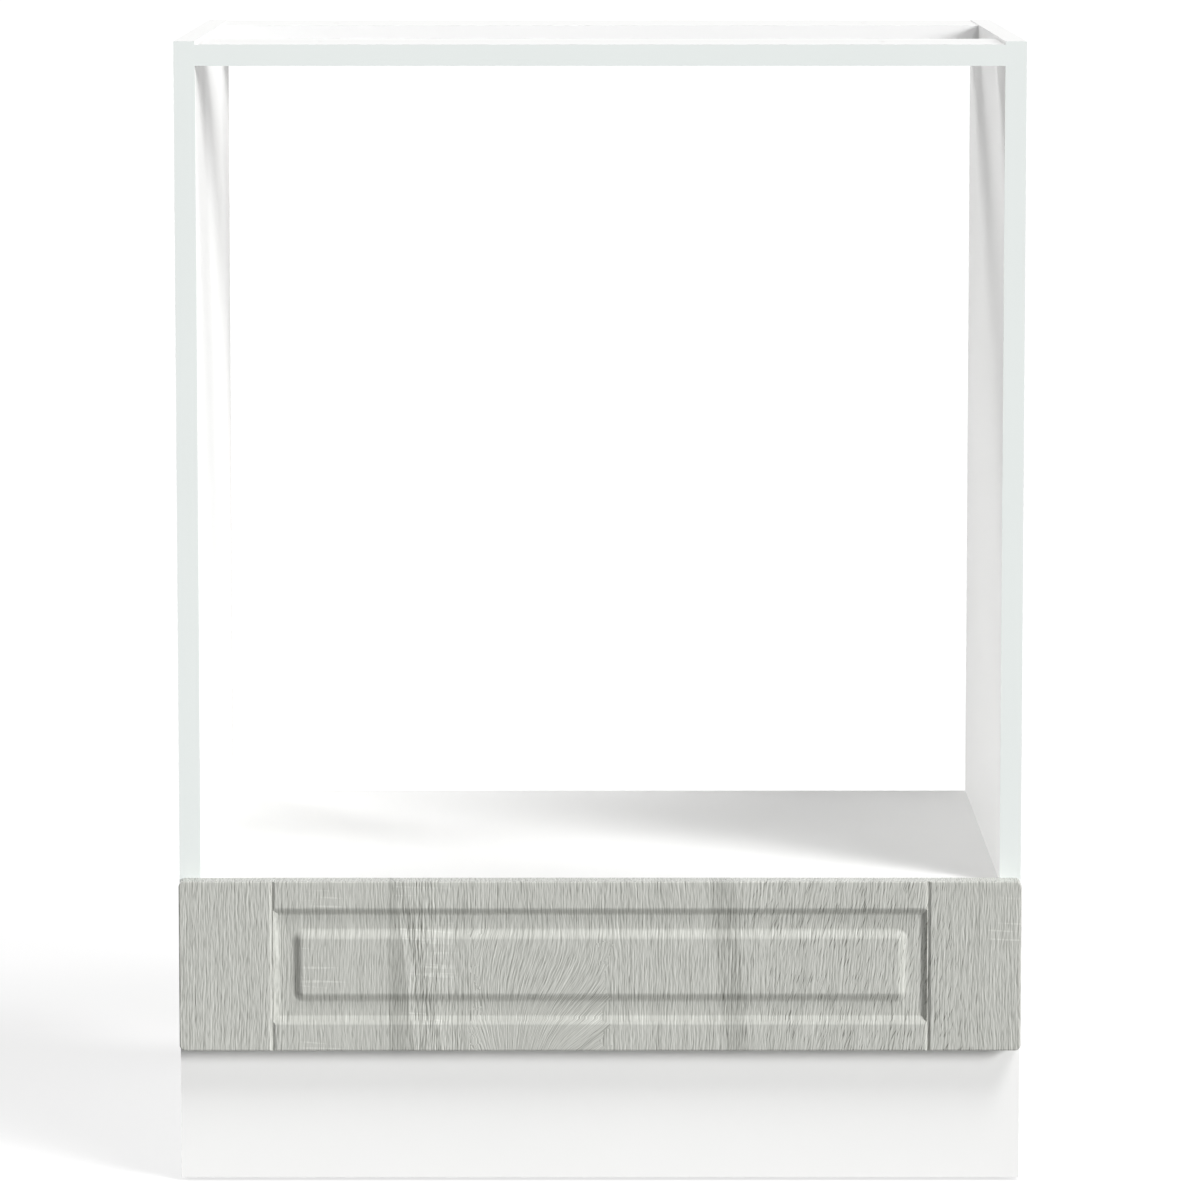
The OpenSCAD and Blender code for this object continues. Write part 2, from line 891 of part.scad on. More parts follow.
// Axle on +Z through a web that ends at z = 0: tail in the web, shoulder, shank and head
module roller_axle(shoulder_l) {
    shank_z1 = shoulder_l + axle_end_gap + roller_w - roller_recess_l + axle_end_gap;
    head_r = axle_head_d / 2;
    rotate_extrude()
        polygon([
            [0, -steel_t], [axle_d / 2, -steel_t], [axle_d / 2, 0], [axle_shoulder_d / 2, 0],
            [axle_shoulder_d / 2, shoulder_l], [axle_d / 2, shoulder_l], [axle_d / 2, shank_z1],
            [head_r, shank_z1], [head_r, shank_z1 + axle_head_l / 2],
            [head_r - axle_head_l / 2, shank_z1 + axle_head_l], [0, shank_z1 + axle_head_l]
        ]);
}

module place_front_roller(x) {
    translate([x, front_roller_y, front_roller_z])
        rotate([0, -90, 0])
            children();
}

module place_rear_roller(x) {
    along_x([x, rear_roller_y, rear_roller_z])
        children();
}

module front_roller_axles() {
    color(bright_steel)
        both_hands()
            place_front_roller(inner_x - steel_t)
                roller_axle(roller_inset - steel_t - axle_end_gap);
}

module front_roller_right() {
    color(nylon_white)
        place_front_roller(roller_x1)
            roller(front_roller_d);
}

module front_roller_left() {
    color(nylon_white)
        left_hand()
            place_front_roller(roller_x1)
                roller(front_roller_d);
}

module rear_roller_axles() {
    color(bright_steel)
        both_hands()
            place_rear_roller(drawer_x + steel_t)
                roller_axle(roller_x0 - drawer_x - steel_t - axle_end_gap);
}

module rear_roller_right() {
    color(nylon_white)
        place_rear_roller(roller_x0)
            roller(rear_roller_d);
}

module rear_roller_left() {
    color(nylon_white)
        left_hand()
            place_rear_roller(roller_x0)
                roller(rear_roller_d);
}

// ---- Drawer front ----

// Slab facing -Y, round at its corners; outline gives [inset from the edge, y] from back to front
module profiled_slab(w, h, corner_r, outline) {
    y_back = outline[0][1];
    y_front = outline[len(outline) - 1][1];
    cx = w / 2 - corner_r;
    cz = h / 2 - corner_r;
    right_side = [for (p = outline) [w / 2 - p[0], p[1]]];
    top_side = [for (p = outline) [p[1], h / 2 - p[0]]];
    corner = concat([[0, y_back]], [for (p = outline) [corner_r - p[0], p[1]]], [[0, y_front]]);
    translate([0, 0, -cz])
        linear_extrude(2 * cz)
            polygon(concat(right_side, [for (p = reversed(right_side)) [-p[0], p[1]]]));
    prism_x(-cx, 2 * cx, concat(top_side, [for (p = reversed(top_side)) [p[0], -p[1]]]));
    for (quarter = [0 : 3])
        translate([cx * (quarter == 0 || quarter == 3 ? 1 : -1), 0, cz * (quarter < 2 ? -1 : 1)])
            rotate([-90, 0, 0])
                rotate(90 * quarter)
                    rotate_extrude(angle = 90)
                        polygon(corner);
}

// Outer shape: back face, then the rounded edge of the face
slab_outline = concat(
    [[0, carcass_y0]],
    [for (p = arc([front_edge_r, front_face_y + front_edge_r], front_edge_r, 180, 270)) p]
);

// Wave from one level to another: [distance, y], level at both ends
function wave(width, y0, y1) = [
    for (i = [0 : wave_steps])
        let (s = i / wave_steps)
        [width * s, y0 + (y1 - y0) * (1 - cos(180 * s)) / 2]
];

// Raised field: a wave from the channel's floor up to the field
field_outline = concat(
    [[0, front_face_y + channel_depth + over]],
    wave(field_slope_w, front_face_y + channel_depth, front_face_y + field_drop)
);

// Half of the pocket's section: [distance from the pocket's edge, y], a wave down to the channel
pocket_wall = wave(step_w, front_face_y, front_face_y + channel_depth);

// Pocket of a given width in [across, y], opening past the face
function pocket_section(w) =
    let (right = concat([[w / 2, front_face_y - over]], [for (p = pocket_wall) [w / 2 - p[0], p[1]]]))
    concat(right, [for (p = reversed(right)) [-p[0], p[1]]]);

// Mitred pocket: where the upright section and the level section agree
module pocket() {
    intersection() {
        translate([0, 0, -pocket_h / 2])
            linear_extrude(pocket_h)
                polygon(pocket_section(pocket_w));
        prism_x(-pocket_w / 2, pocket_w, [for (p = pocket_section(pocket_h)) [p[1], p[0]]]);
    }
}

// Full-height groove between a stile and the rails
module stile_groove() {
    edge = groove_w / 2;
    translate([front_w / 2 - groove_inset, front_face_y, -front_h])
        linear_extrude(2 * front_h)
            polygon([[-edge, 0], [-edge, -over], [edge, -over], [edge, 0], [0, groove_depth]]);
}

module drawer_front() {
    color(oak_grey)
        difference() {
            translate([0, 0, front_mid_z]) {
                difference() {
                    profiled_slab(front_w, front_h, front_corner_r, slab_outline);
                    difference() {
                        pocket();
                        profiled_slab(field_w, field_h, field_corner_r + field_slope_w, field_outline);
                    }
                    both_hands()
                        stile_groove();
                }
            }
            block(
                [-drawer_inner_x - side_groove_depth, carcass_y0 - front_groove_depth, bottom_groove_z0],
                [drawer_inner_x + side_groove_depth, carcass_y0 + over, drawer_bottom_z1 + groove_play]
            );
            both_hands()
                drawer_corner_bores();
        }
}

// ---- Drawer box ----

// Bores that run from the drawer's sides into its front
module drawer_corner_bores() {
    place_drawer_bolt()
        translate([0, 0, -bolt_thread_l - bore_extra])
            cylinder(d = bolt_thread_d + 2 * fit, h = bolt_thread_l + bore_extra + over);
    place_drawer_dowels()
        translate([0, 0, -bore_extra])
            cylinder(d = drawer_dowel_d + 2 * fit, h = drawer_dowel_l + 2 * bore_extra);
}

module place_drawer_bolt() {
    along_y([drawer_mid_x, carcass_y0, drawer_cam_z])
        children();
}

module place_drawer_cam() {
    translate([drawer_x, carcass_y0 + cam_backset, drawer_cam_z])
        rotate([0, -90, 0])
            rotate(-90)
                children();
}

module place_drawer_dowels() {
    for (z = drawer_dowel_zs)
        along_y([drawer_mid_x, carcass_y0 - dowel_in_side, z])
            children();
}

module place_back_screws() {
    for (z = back_screw_zs)
        along_x([drawer_x, back_mid_y, z])
            children();
}

module place_profile_screws() {
    for (y = profile_screw_ys)
        translate([profile_screw_x, y, drawer_profile_z0])
            rotate([180, 0, 0])
                children();
}

// Board on edge with rounded long edges and a groove for the bottom
module drawer_side() {
    r = drawer_edge_r;
    outline = concat(
        arc([drawer_x - r, drawer_z0 + r], r, -90, 0, 4),
        arc([drawer_x - r, drawer_z1 - r], r, 0, 90, 4),
        arc([drawer_inner_x + r, drawer_z1 - r], r, 90, 180, 4),
        arc([drawer_inner_x + r, drawer_z0 + r], r, 180, 270, 4)
    );
    difference() {
        prism_y(carcass_y0, runner_l, outline);
        block(
            [drawer_inner_x - over, carcass_y0 - over, bottom_groove_z0],
            [drawer_inner_x + side_groove_depth, drawer_y1 + over, drawer_bottom_z1 + groove_play]
        );
        drawer_corner_bores();
        place_drawer_cam()
            cam_pocket(drawer_board_t - drawer_cam_skin, drawer_board_t / 2);
        place_back_screws()
            countersunk_hole(back_screw_d, back_screw_l, back_screw_head_d);
        place_profile_screws()
            translate([0, 0, -profile_screw_l - bore_extra])
                cylinder(d = profile_screw_d + 2 * fit, h = profile_screw_l + bore_extra);
    }
}

module drawer_side_left() {
    color(melamine_white)
        left_hand()
            drawer_side();
}

module drawer_side_right() {
    color(melamine_white)
        drawer_side();
}

module drawer_back() {
    color(melamine_white)
        difference() {
            block(
                [-drawer_inner_x, drawer_back_y0, drawer_bottom_z1],
                [drawer_inner_x, drawer_y1, drawer_z1]
            );
            both_hands()
                place_back_screws()
                    countersunk_hole(back_screw_d, back_screw_l, back_screw_head_d);
            place_bottom_nails()
                nail_hole();
        }
}

module place_bottom_nails() {
    for (x = spread(2 * drawer_inner_x, nail_inset, nail_pitch))
        translate([x, back_mid_y, drawer_bottom_z0])
            rotate([180, 0, 0])
                children();
}

module drawer_bottom() {
    half = drawer_inner_x + side_groove_depth - groove_play;
    color(melamine_white)
        difference() {
            block(
                [-half, carcass_y0 - front_groove_depth + groove_play, drawer_bottom_z0],
                [half, drawer_y1, drawer_bottom_z1]
            );
            place_bottom_nails()
                nail_hole();
        }
}

module drawer_cam_locks() {
    color(zinc)
        both_hands()
            place_drawer_cam()
                cam_lock(drawer_board_t - drawer_cam_skin, drawer_board_t / 2);
}

module drawer_cam_bolts() {
    color(bright_steel)
        both_hands()
            place_drawer_bolt()
                cam_bolt(cam_backset);
}

module drawer_dowels() {
    color(beech)
        both_hands()
            place_drawer_dowels()
                dowel(drawer_dowel_d, drawer_dowel_l);
}

module drawer_back_screws() {
    color(bright_steel)
        both_hands()
            place_back_screws()
                countersunk_screw(back_screw_d, back_screw_l, back_screw_head_d);
}

module drawer_bottom_nails() {
    color(bright_steel)
        place_bottom_nails()
            nail();
}

// ---- Drawer runners ----

// Z-shaped profile: under the side, up its outer face and out over the front roller
module drawer_runner() {
    low_z = drawer_profile_z0 + steel_t / 2;
    high_z = drawer_profile_z1 - steel_t / 2;
    web_x = drawer_x + steel_t / 2;
    path = [[drawer_inner_x, low_z], [web_x, low_z], [web_x, high_z], [drawer_x + drawer_flange_w, high_z]];
    length = runner_l - profile_front_gap;
    difference() {
        prism_y(drawer_y1 - length, length, folded_sheet(path, steel_t, bend_r));
        place_profile_screws()
            translate([0, 0, -steel_t - over])
                cylinder(d = profile_screw_d + 2 * fit, h = steel_t + 2 * over);
        place_rear_roller(drawer_x - over)
            cylinder(d = axle_d + 2 * fit, h = steel_t + 2 * over);
    }
}

module drawer_runner_left() {
    color(coated_steel)
        left_hand()
            drawer_runner();
}

module drawer_runner_right() {
    color(coated_steel)
        drawer_runner();
}

module drawer_runner_screws() {
    color(bright_steel)
        both_hands()
            place_profile_screws()
                pan_screw(profile_screw_d, profile_screw_l, profile_screw_head_d, profile_screw_head_h);
}

side_panel_left();
side_panel_right();
bottom_panel();
oven_shelf();
front_rail();
back_rail();
plinth_board();
lower_back_panel();
edge_band_left();
edge_band_right();
edge_band_front_rail();
edge_band_back_rail();
edge_band_shelf();
edge_band_bottom();
carcass_cam_locks();
carcass_cam_bolts();
carcass_dowels();
floor_glides();
plinth_brackets();
plinth_bracket_screws();
back_panel_nails();
cabinet_runner_left();
cabinet_runner_right();
cabinet_runner_screws();
front_roller_axles();
front_roller_left();
front_roller_right();
drawer_front();
drawer_side_left();
drawer_side_right();
drawer_back();
drawer_bottom();
drawer_runner_left();
drawer_runner_right();
drawer_runner_screws();
drawer_cam_locks();
drawer_cam_bolts();
drawer_dowels();
drawer_back_screws();
drawer_bottom_nails();
rear_roller_axles();
rear_roller_left();
rear_roller_right();
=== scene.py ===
"""Looks of an oven housing unit with one drawer: finishes for its boards, foil front and fittings,
turned fasteners made by Geometry Nodes, and the stage. Laid out as an add-on and run as a script."""

import math
from functools import cache

import bmesh
import bpy
from bpy.props import FloatProperty, FloatVectorProperty, PointerProperty
from mathutils import Euler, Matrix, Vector


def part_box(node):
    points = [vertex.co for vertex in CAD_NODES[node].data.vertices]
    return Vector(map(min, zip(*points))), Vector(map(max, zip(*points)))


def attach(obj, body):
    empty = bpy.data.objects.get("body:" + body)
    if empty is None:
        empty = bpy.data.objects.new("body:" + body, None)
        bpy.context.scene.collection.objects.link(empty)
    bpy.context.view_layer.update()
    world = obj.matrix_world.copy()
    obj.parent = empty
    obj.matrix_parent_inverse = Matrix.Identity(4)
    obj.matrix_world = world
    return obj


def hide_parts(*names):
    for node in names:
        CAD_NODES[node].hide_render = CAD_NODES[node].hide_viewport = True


bl_info = {
    "name": "Oven Housing Unit",
    "version": (1, 0, 0),
    "blender": (4, 5, 0),
    "location": "View3D > Sidebar > Cabinet",
    "description": "Finishes, fasteners and stage of an oven housing unit with one drawer",
    "category": "Object",
}

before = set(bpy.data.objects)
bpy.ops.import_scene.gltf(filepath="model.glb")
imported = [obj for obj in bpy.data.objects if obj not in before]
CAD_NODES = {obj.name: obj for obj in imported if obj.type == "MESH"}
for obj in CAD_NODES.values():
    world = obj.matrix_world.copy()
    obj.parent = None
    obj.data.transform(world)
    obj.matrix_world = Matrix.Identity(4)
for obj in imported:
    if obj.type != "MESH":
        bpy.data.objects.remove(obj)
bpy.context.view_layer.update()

MM = 0.001
TURN = 2 * math.pi
WHITE = (1.0, 1.0, 1.0)
ANGLE = {"subtype": "ANGLE", "unit": "ROTATION"}

FRONT_LOW, FRONT_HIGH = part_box("drawer_front")
FRONT_MID = (FRONT_LOW + FRONT_HIGH) / 2

# A board shows chips deeper than this below its faces, and in this skin of a bare side.
CORE_DEPTH = 0.5 * MM
BARE_SKIN = 0.15 * MM
# The drawer front's bores and bottom groove lie in its box moved by the first and inset by the second.
HOLLOW_SHIFT = Vector((0, 2.75 * MM, 0))
HOLLOW_INSET = Vector((30 * MM, 2.85 * MM, 11 * MM))
BACK_SKIN = 0.1 * MM

# Marks printed on the foil, in millimetres to the right of the drawer front's middle: where each
# one starts, is full, fades and ends.
SAWN_LEFT = (-218, -208, -190, -176)
SAWN_MIDDLE = (-152, -142, -118, -95)
# The third sawn patch only has a start and a full place, across and above the middle.
SAWN_RIGHT, SAWN_ABOVE = (272, 282), (-10, 20)
FLECKED = (90, 130, 240, 275)
DARK_REACH = (-151.2, -150.6, -90, -80)
DARK_LEFT = (-160, -158, -137, -136)
DARK_STEEP = (-133, -131.5, -127, -125)
DARK_RIGHT = (82, 84.5, 99, 102)
PALE_LINE = (-136.8, -135.8, -134.2, -132.6)
LIVELY = (-137, -135, -118, -100)
CALM = (-224, -220, -140, -132)
# Where the grain's lean starts and is full, in millimetres, and its slope.
LEANS = ((90, 150, 0.10), (226, 268, -0.10))

# The cross's reach as a share of its head's radius, and what is left of a shank at its point.
CROSS_REACH = 0.55
BLUNT = 0.04
# Steps along a bolt, the first two down from its head and the others up from its end.
BOLT_HEAD, BOLT_NECK, BOLT_THREAD, BOLT_COLLAR = 2.4 * MM, 7.4 * MM, 11 * MM, 14 * MM

# Each lamp's name, its strength's setting, and its turn and rise in degrees.
LAMPS = (
    ("right_lamp", "key_right", 47, 17),
    ("top_lamp", "key_top", 45, 60),
    ("back_lamp", "back", -140, 25),
)


def srgb(red, green, blue):
    """Linear colour of three screen values from 0 to 255."""
    return tuple(
        v / 12.92 if v <= 0.04045 else ((v + 0.055) / 1.055) ** 2.4
        for v in (red / 255, green / 255, blue / 255)
    )


def number(name, description, value, **more):
    """Number setting."""
    return FloatProperty(name=name, description=description, default=value, **more)


def extent(name, description, millimetres):
    """Length setting with a default given in millimetres."""
    return number(name, description, millimetres * MM, min=0, precision=5, unit="LENGTH")


def swatch(name, description, screen):
    """Colour setting with a default given in screen values."""
    return FloatVectorProperty(
        name=name, description=description, subtype="COLOR", size=3, min=0, max=1, default=srgb(*screen)
    )


# ---- Settings ----


class CabinetColours(bpy.types.PropertyGroup):
    """Colours of the finishes"""

    board: swatch("Board", "Coating of the carcass boards", (245, 245, 244))
    band: swatch("Edge band", "Cool white of the bands on the front edges", (231, 236, 234))
    back_band: swatch("Back rail's band", "Neutral white of the back rail's band", (240, 240, 240))
    foil: swatch("Foil", "Middle tone of the drawer front's oak foil", (190, 191, 185))
    # Besides the printed pores, rings, streaks and saw marks, foil line colours the painted shaded side of
    # each grain streak and foil light its painted highlight side.
    foil_line: swatch("Foil line", "Dark pores and rings printed on the foil", (112, 113, 106))
    foil_light: swatch("Foil light", "Pale streaks and saw marks on the foil", (230, 231, 225))
    core: swatch("Core", "Wood chips of a board's bare edge", (206, 178, 136))
    core_dark: swatch("Core dark", "Darkest chips of a board's bare edge", (132, 102, 70))
    fibre: swatch("Fibre", "Bare side of the hardboard panels", (150, 108, 70))
    fibre_dark: swatch("Fibre dark", "Darkest fibres of the hardboard", (96, 64, 38))
    beech: swatch("Beech", "Wood of the dowels", (219, 184, 140))
    beech_fleck: swatch("Beech fleck", "Small dark flecks of the beech", (168, 124, 82))
    runner: swatch("Runner", "Coating of the drawer runners", (233, 232, 226))
    zinc: swatch("Zinc", "Cast cam locks", (168, 170, 172))
    steel: swatch("Steel", "Screws, nails, bolts, axles and brackets", (190, 192, 194))
    nylon: swatch("Nylon", "Rollers", (238, 238, 232))
    glide: swatch("Glide", "Plastic floor glides", (140, 142, 143))


class CabinetFoil(bpy.types.PropertyGroup):
    """Sizes of the oak figure on the drawer front"""

    streak_width: extent("Streak width", "Width of the fine grain streaks", 1.25)
    short_streak: extent("Short streak", "Length of the short grain streaks", 9)
    long_streak: extent("Long streak", "Length of the long grain streaks", 42)
    band_width: extent("Band width", "Width of the broad light and dark bands", 14)
    relief: extent("Relief", "Depth of the grain pressed into the foil", 0.09)
    contrast: number("Contrast", "Strength of the printed streaks", 0.75, min=0, max=5)
    arch_left: number("Arch left", "Left edge of the bent figure", -89 * MM, unit="LENGTH")
    arch_right: number("Arch right", "Right edge of the bent figure", 3 * MM, unit="LENGTH")
    arch_top: number("Arch top", "Height below which the figure bends", 186 * MM, unit="LENGTH")


class CabinetFasteners(bpy.types.PropertyGroup):
    """Sizes of the fasteners' detail that the construction leaves out"""

    pitch: extent("Pitch", "Rise of a wood screw's thread in one turn", 1.4)
    fine_pitch: extent("Fine pitch", "Rise of a cam bolt's thread in one turn", 1.8)
    flute_depth: extent("Flute depth", "Depth of the grooves along a dowel", 0.28)
    recess: extent("Recess", "Depth of the cross in a screw's head", 1.5)
    grip_depth: extent("Grip depth", "Depth of the grip rings below a nail's head", 0.1)


class CabinetStage(bpy.types.PropertyGroup):
    """Light, floor and camera"""

    sky: number("Sky", "Strength of the even light from all round", 0.15, min=0, max=2)
    key_right: number("Right lamp", "Strength of the soft lamp on the right", 2.65, min=0, max=10)
    key_top: number("Top lamp", "Strength of the soft lamp high on the right", 1.5, min=0, max=10)
    back: number("Back lamp", "Strength of the soft lamp on the left behind", 1.3, min=0, max=10)
    lamp_spread: number("Lamp spread", "Angle that a lamp fills", math.radians(20), **ANGLE)
    floor_tone: number("Floor tone", "How much light the floor gives back", 0.36, min=0, max=1)
    floor_glow: number("Floor glow", "Share of white that the camera sees in the floor", 0.72, min=0, max=1)
    camera_place: FloatVectorProperty(
        name="Camera place",
        description="Where the photograph was taken from",
        subtype="XYZ",
        unit="LENGTH",
        default=(-0.0067, -4.9319, 0.9901),
    )
    camera_tilt: number("Camera tilt", "Downward tilt", 0.1203, **ANGLE)
    camera_turn: number("Camera turn", "Turn to the left", -0.0014, **ANGLE)
    camera_lens: number("Lens", "Focal length on a 36 mm sensor", 200.96, min=10, unit="CAMERA")


# ---- Node graphs ----


class Graph:
    """One node tree, with short calls for the nodes that are used most."""

    def __init__(self, tree):
        self.tree = tree

    def feed(self, socket, value):
        """Links a socket to another's value, or sets it, a colour with full alpha."""
        if isinstance(value, bpy.types.NodeSocket):
            self.tree.links.new(value, socket)
        else:
            socket.default_value = (*value, 1.0) if socket.type == "RGBA" else value

    def node(self, kind, values=None, **settings):
        """New node with its settings and its inputs by name or number."""
        made = self.tree.nodes.new(kind)
        for name, value in settings.items():
            setattr(made, name, value)
        for key, value in (values or {}).items():
            self.feed(made.inputs[key], value)
        return made

    def math(self, operation, first, *others):
        """Result of one arithmetic step, done again for each further value."""
        for value in others or (0.0,):
            step = self.node("ShaderNodeMath", {0: first, 1: value}, operation=operation)
            first = step.outputs[0]
        return first

    def total(self, *values):
        """Sum of several values."""
        return self.math("ADD", *values)

    def product(self, *values):
        """Product of several values."""
        return self.math("MULTIPLY", *values)

    def less(self, first, second):
        """First value less the second."""
        return self.math("SUBTRACT", first, second)

    def over(self, first, second):
        """How far the first value is above the second, or zero."""
        return self.math("MAXIMUM", self.less(first, second), 0.0)

    def blend(self, factor, first, second):
        """Value between two values."""
        return self.node("ShaderNodeMix", {0: factor, 2: first, 3: second}, data_type="FLOAT").outputs[0]

    def mix(self, factor, first, second):
        """Colour between two colours, with the factor held between zero and one."""
        return self.node("ShaderNodeMix", {0: factor, 6: first, 7: second}, data_type="RGBA").outputs[2]

    def vector(self, operation, *values):
        """Result of one vector step."""
        return self.node("ShaderNodeVectorMath", dict(enumerate(values)), operation=operation).outputs[0]

    def dot(self, first, second):
        """Dot product of two vectors."""
        step = self.node("ShaderNodeVectorMath", {0: first, 1: second}, operation="DOT_PRODUCT")
        return step.outputs["Value"]

    def combine(self, x=0.0, y=0.0, z=0.0):
        """Vector of three values."""
        return self.node("ShaderNodeCombineXYZ", {0: x, 1: y, 2: z}).outputs[0]

    def scaled(self, vector, value):
        """Vector or colour times one value."""
        return self.vector("MULTIPLY", vector, self.combine(value, value, value))

    def split(self, vector):
        """The three values of a vector."""
        return self.node("ShaderNodeSeparateXYZ", {0: vector}).outputs

    def ramp(self, value, low, high, out_low=0.0, out_high=1.0, smooth=False):
        """Value carried from one range to another and held at its ends."""
        return self.node(
            "ShaderNodeMapRange",
            {0: value, 1: low, 2: high, 3: out_low, 4: out_high},
            interpolation_type="SMOOTHSTEP" if smooth else "LINEAR",
        ).outputs[0]

    def step(self, value, low, high):
        """Smooth step from zero to one between two places in millimetres."""
        return self.ramp(value, low * MM, high * MM, smooth=True)

    def window(self, value, start, full, fade, end):
        """One between two places in millimetres and zero outside them."""
        return self.product(self.step(value, start, full), self.step(value, end, fade))

    def noise(self, vector, detail=2.0, dimensions="3D", scale=1.0):
        """Noise around a half."""
        return self.node(
            "ShaderNodeTexNoise",
            {"Vector": vector, "Scale": scale, "Detail": detail},
            noise_dimensions=dimensions,
        ).outputs[0]

    def flat_noise(self, x, x_scale, y=0.0, y_scale=0.0, detail=2.0):
        """Noise around a half over two values, each at its own scale."""
        place = self.combine(self.product(x, x_scale), self.product(y, y_scale))
        return self.noise(place, detail, "2D")

    def bent(self, vector, scale, reach):
        """Vector moved about by noise, and the noise."""
        warp = self.node("ShaderNodeTexNoise", {"Vector": vector, "Scale": scale, "Detail": 2.0})
        return self.vector("ADD", vector, self.scaled(warp.outputs[1], reach)), warp.outputs[0]

    def group(self, tree, **values):
        """Outputs of a node group placed here, with its inputs by name and _ for a space."""
        made = self.node("ShaderNodeGroup", node_tree=tree)
        for name, value in values.items():
            self.feed(made.inputs[name.replace("_", " ")], value)
        return made.outputs

    def close(self, **values):
        """Ends a shader group with its outputs by name, a colour and plain values."""
        for name in values:
            kind = "NodeSocketColor" if name == "Color" else "NodeSocketFloat"
            self.tree.interface.new_socket(name, in_out="OUTPUT", socket_type=kind)
        out = self.node("NodeGroupOutput")
        for name, value in values.items():
            self.feed(out.inputs[name], value)
        return self.tree


def new_group(name, vectors=(), colours=(), **values):
    """Shader group with inputs of three kinds, the values with defaults: its graph and its inputs."""
    graph = Graph(bpy.data.node_groups.new(name, "ShaderNodeTree"))
    kinds = {**dict.fromkeys(vectors, "Vector"), **dict.fromkeys(colours, "Color")}
    for label, kind in {**kinds, **dict.fromkeys(values, "Float")}.items():
        socket = graph.tree.interface.new_socket(label, in_out="INPUT", socket_type="NodeSocket" + kind)
        if label in values:
            socket.default_value = values[label]
    return graph, graph.node("NodeGroupInput").outputs


@cache
def streak_group():
    """Noise drawn out along the grain."""
    graph, given = new_group(
        "Grain Streaks", Across=0.0, Along=0.0, Width=1 * MM, Length=10 * MM, Seed=0.0, Detail=2.0
    )
    across = graph.math("DIVIDE", given["Across"], given["Width"])
    along = graph.math("DIVIDE", given["Along"], given["Length"])
    place = graph.combine(graph.total(across, given["Seed"]), along)
    return graph.close(Value=graph.noise(place, given["Detail"], "2D"))


@cache
def chip_group():
    """Pressed wood chips of a bare board edge."""
    graph, given = new_group("Pressed Chips", ["Vector"], ["Light", "Dark"])
    bent, _ = graph.bent(given["Vector"], 300.0, 1.6 * MM)
    chips = graph.node("ShaderNodeTexVoronoi", {"Vector": bent, "Scale": 520.0, "Randomness": 1.0})
    shade = graph.split(chips.outputs["Color"])[0]
    fine = graph.noise(given["Vector"], 3.0, scale=1400.0)
    tone = graph.total(graph.product(shade, 0.7), graph.product(fine, 0.5))
    colour = graph.mix(graph.ramp(tone, 0.25, 0.85), given["Dark"], given["Light"])
    return graph.close(Color=colour, Height=tone)


@cache
def layer_group():
    """Where a board shows its bare core: inside its faces and on its bare side."""
    graph, given = new_group("Board Layers", ["Vector", "Middle", "Half", "Bare Side"])
    away = graph.vector("SUBTRACT", given["Vector"], given["Middle"])
    depth = graph.split(graph.vector("SUBTRACT", graph.vector("ABSOLUTE", away), given["Half"]))
    outermost = graph.math("MAXIMUM", *depth)
    inside = graph.math("LESS_THAN", outermost, -CORE_DEPTH)
    reach = graph.math("ABSOLUTE", graph.dot(given["Half"], given["Bare Side"]))
    along = graph.dot(away, given["Bare Side"])
    bare = graph.math("GREATER_THAN", along, graph.less(reach, BARE_SKIN))
    has_bare = graph.math("GREATER_THAN", reach, 0.0)
    return graph.close(Core=graph.math("MAXIMUM", inside, graph.product(bare, has_bare)))


@cache
def coat_group():
    """Faint mottle and ripple of a pressed or sprayed coat."""
    graph, given = new_group("Coat Ripple", ["Vector"], ["Base"], Ripple=1.5 * MM, Mottle=0.03)
    cloud = graph.noise(given["Vector"], 3.0, scale=9.0)
    ripple = graph.noise(given["Vector"], scale=graph.math("DIVIDE", 1.0, given["Ripple"]))
    tint = graph.total(graph.product(graph.less(cloud, 0.5), given["Mottle"]), 1.0)
    rough = graph.ramp(graph.total(cloud, graph.product(ripple, 0.4)), 0.4, 1.0, 0.42, 0.58)
    return graph.close(Color=graph.scaled(given["Base"], tint), Height=ripple, Roughness=rough)


@cache
def fibre_group():
    """Felted brown fibres of hardboard."""
    graph, given = new_group("Felted Fibres", ["Vector"], ["Light", "Dark"])
    bent, _ = graph.bent(given["Vector"], 120.0, 4 * MM)
    tangle = graph.total(*[
        graph.noise(graph.vector("MULTIPLY", bent, stretch))
        for stretch in ((1500, 220, 1500), (220, 1500, 1500), (1500, 1500, 220))
    ])
    cloud = graph.noise(given["Vector"], scale=25.0)
    tone = graph.total(tangle, graph.product(cloud, 0.5))
    colour = graph.mix(graph.ramp(tone, 1.45, 2.05), given["Dark"], given["Light"])
    return graph.close(Color=colour, Height=tangle)


@cache
def plating_group():
    """Patches and fine scratches of a plated or cast metal."""
    graph, given = new_group("Metal Patches", ["Vector"], ["Base"], Patch=3 * MM, Strength=0.1)
    scale = graph.math("DIVIDE", 1.0, given["Patch"])
    bent, warp = graph.bent(given["Vector"], scale, graph.product(given["Patch"], 0.5))
    cells = graph.node("ShaderNodeTexVoronoi", {"Vector": bent, "Scale": scale})
    patch = graph.split(cells.outputs["Color"])[0]
    scratches = graph.noise(graph.vector("MULTIPLY", given["Vector"], (5000, 700, 900)))
    shade = graph.total(
        graph.product(graph.less(patch, 0.5), given["Strength"]),
        graph.product(graph.less(scratches, 0.5), 0.12),
        1.0,
    )
    height = graph.total(scratches, graph.product(warp, 0.6))
    rough = graph.ramp(graph.total(patch, scratches), 0.3, 1.7, 0.27, 0.46)
    return graph.close(Color=graph.scaled(given["Base"], shade), Height=height, Roughness=rough)


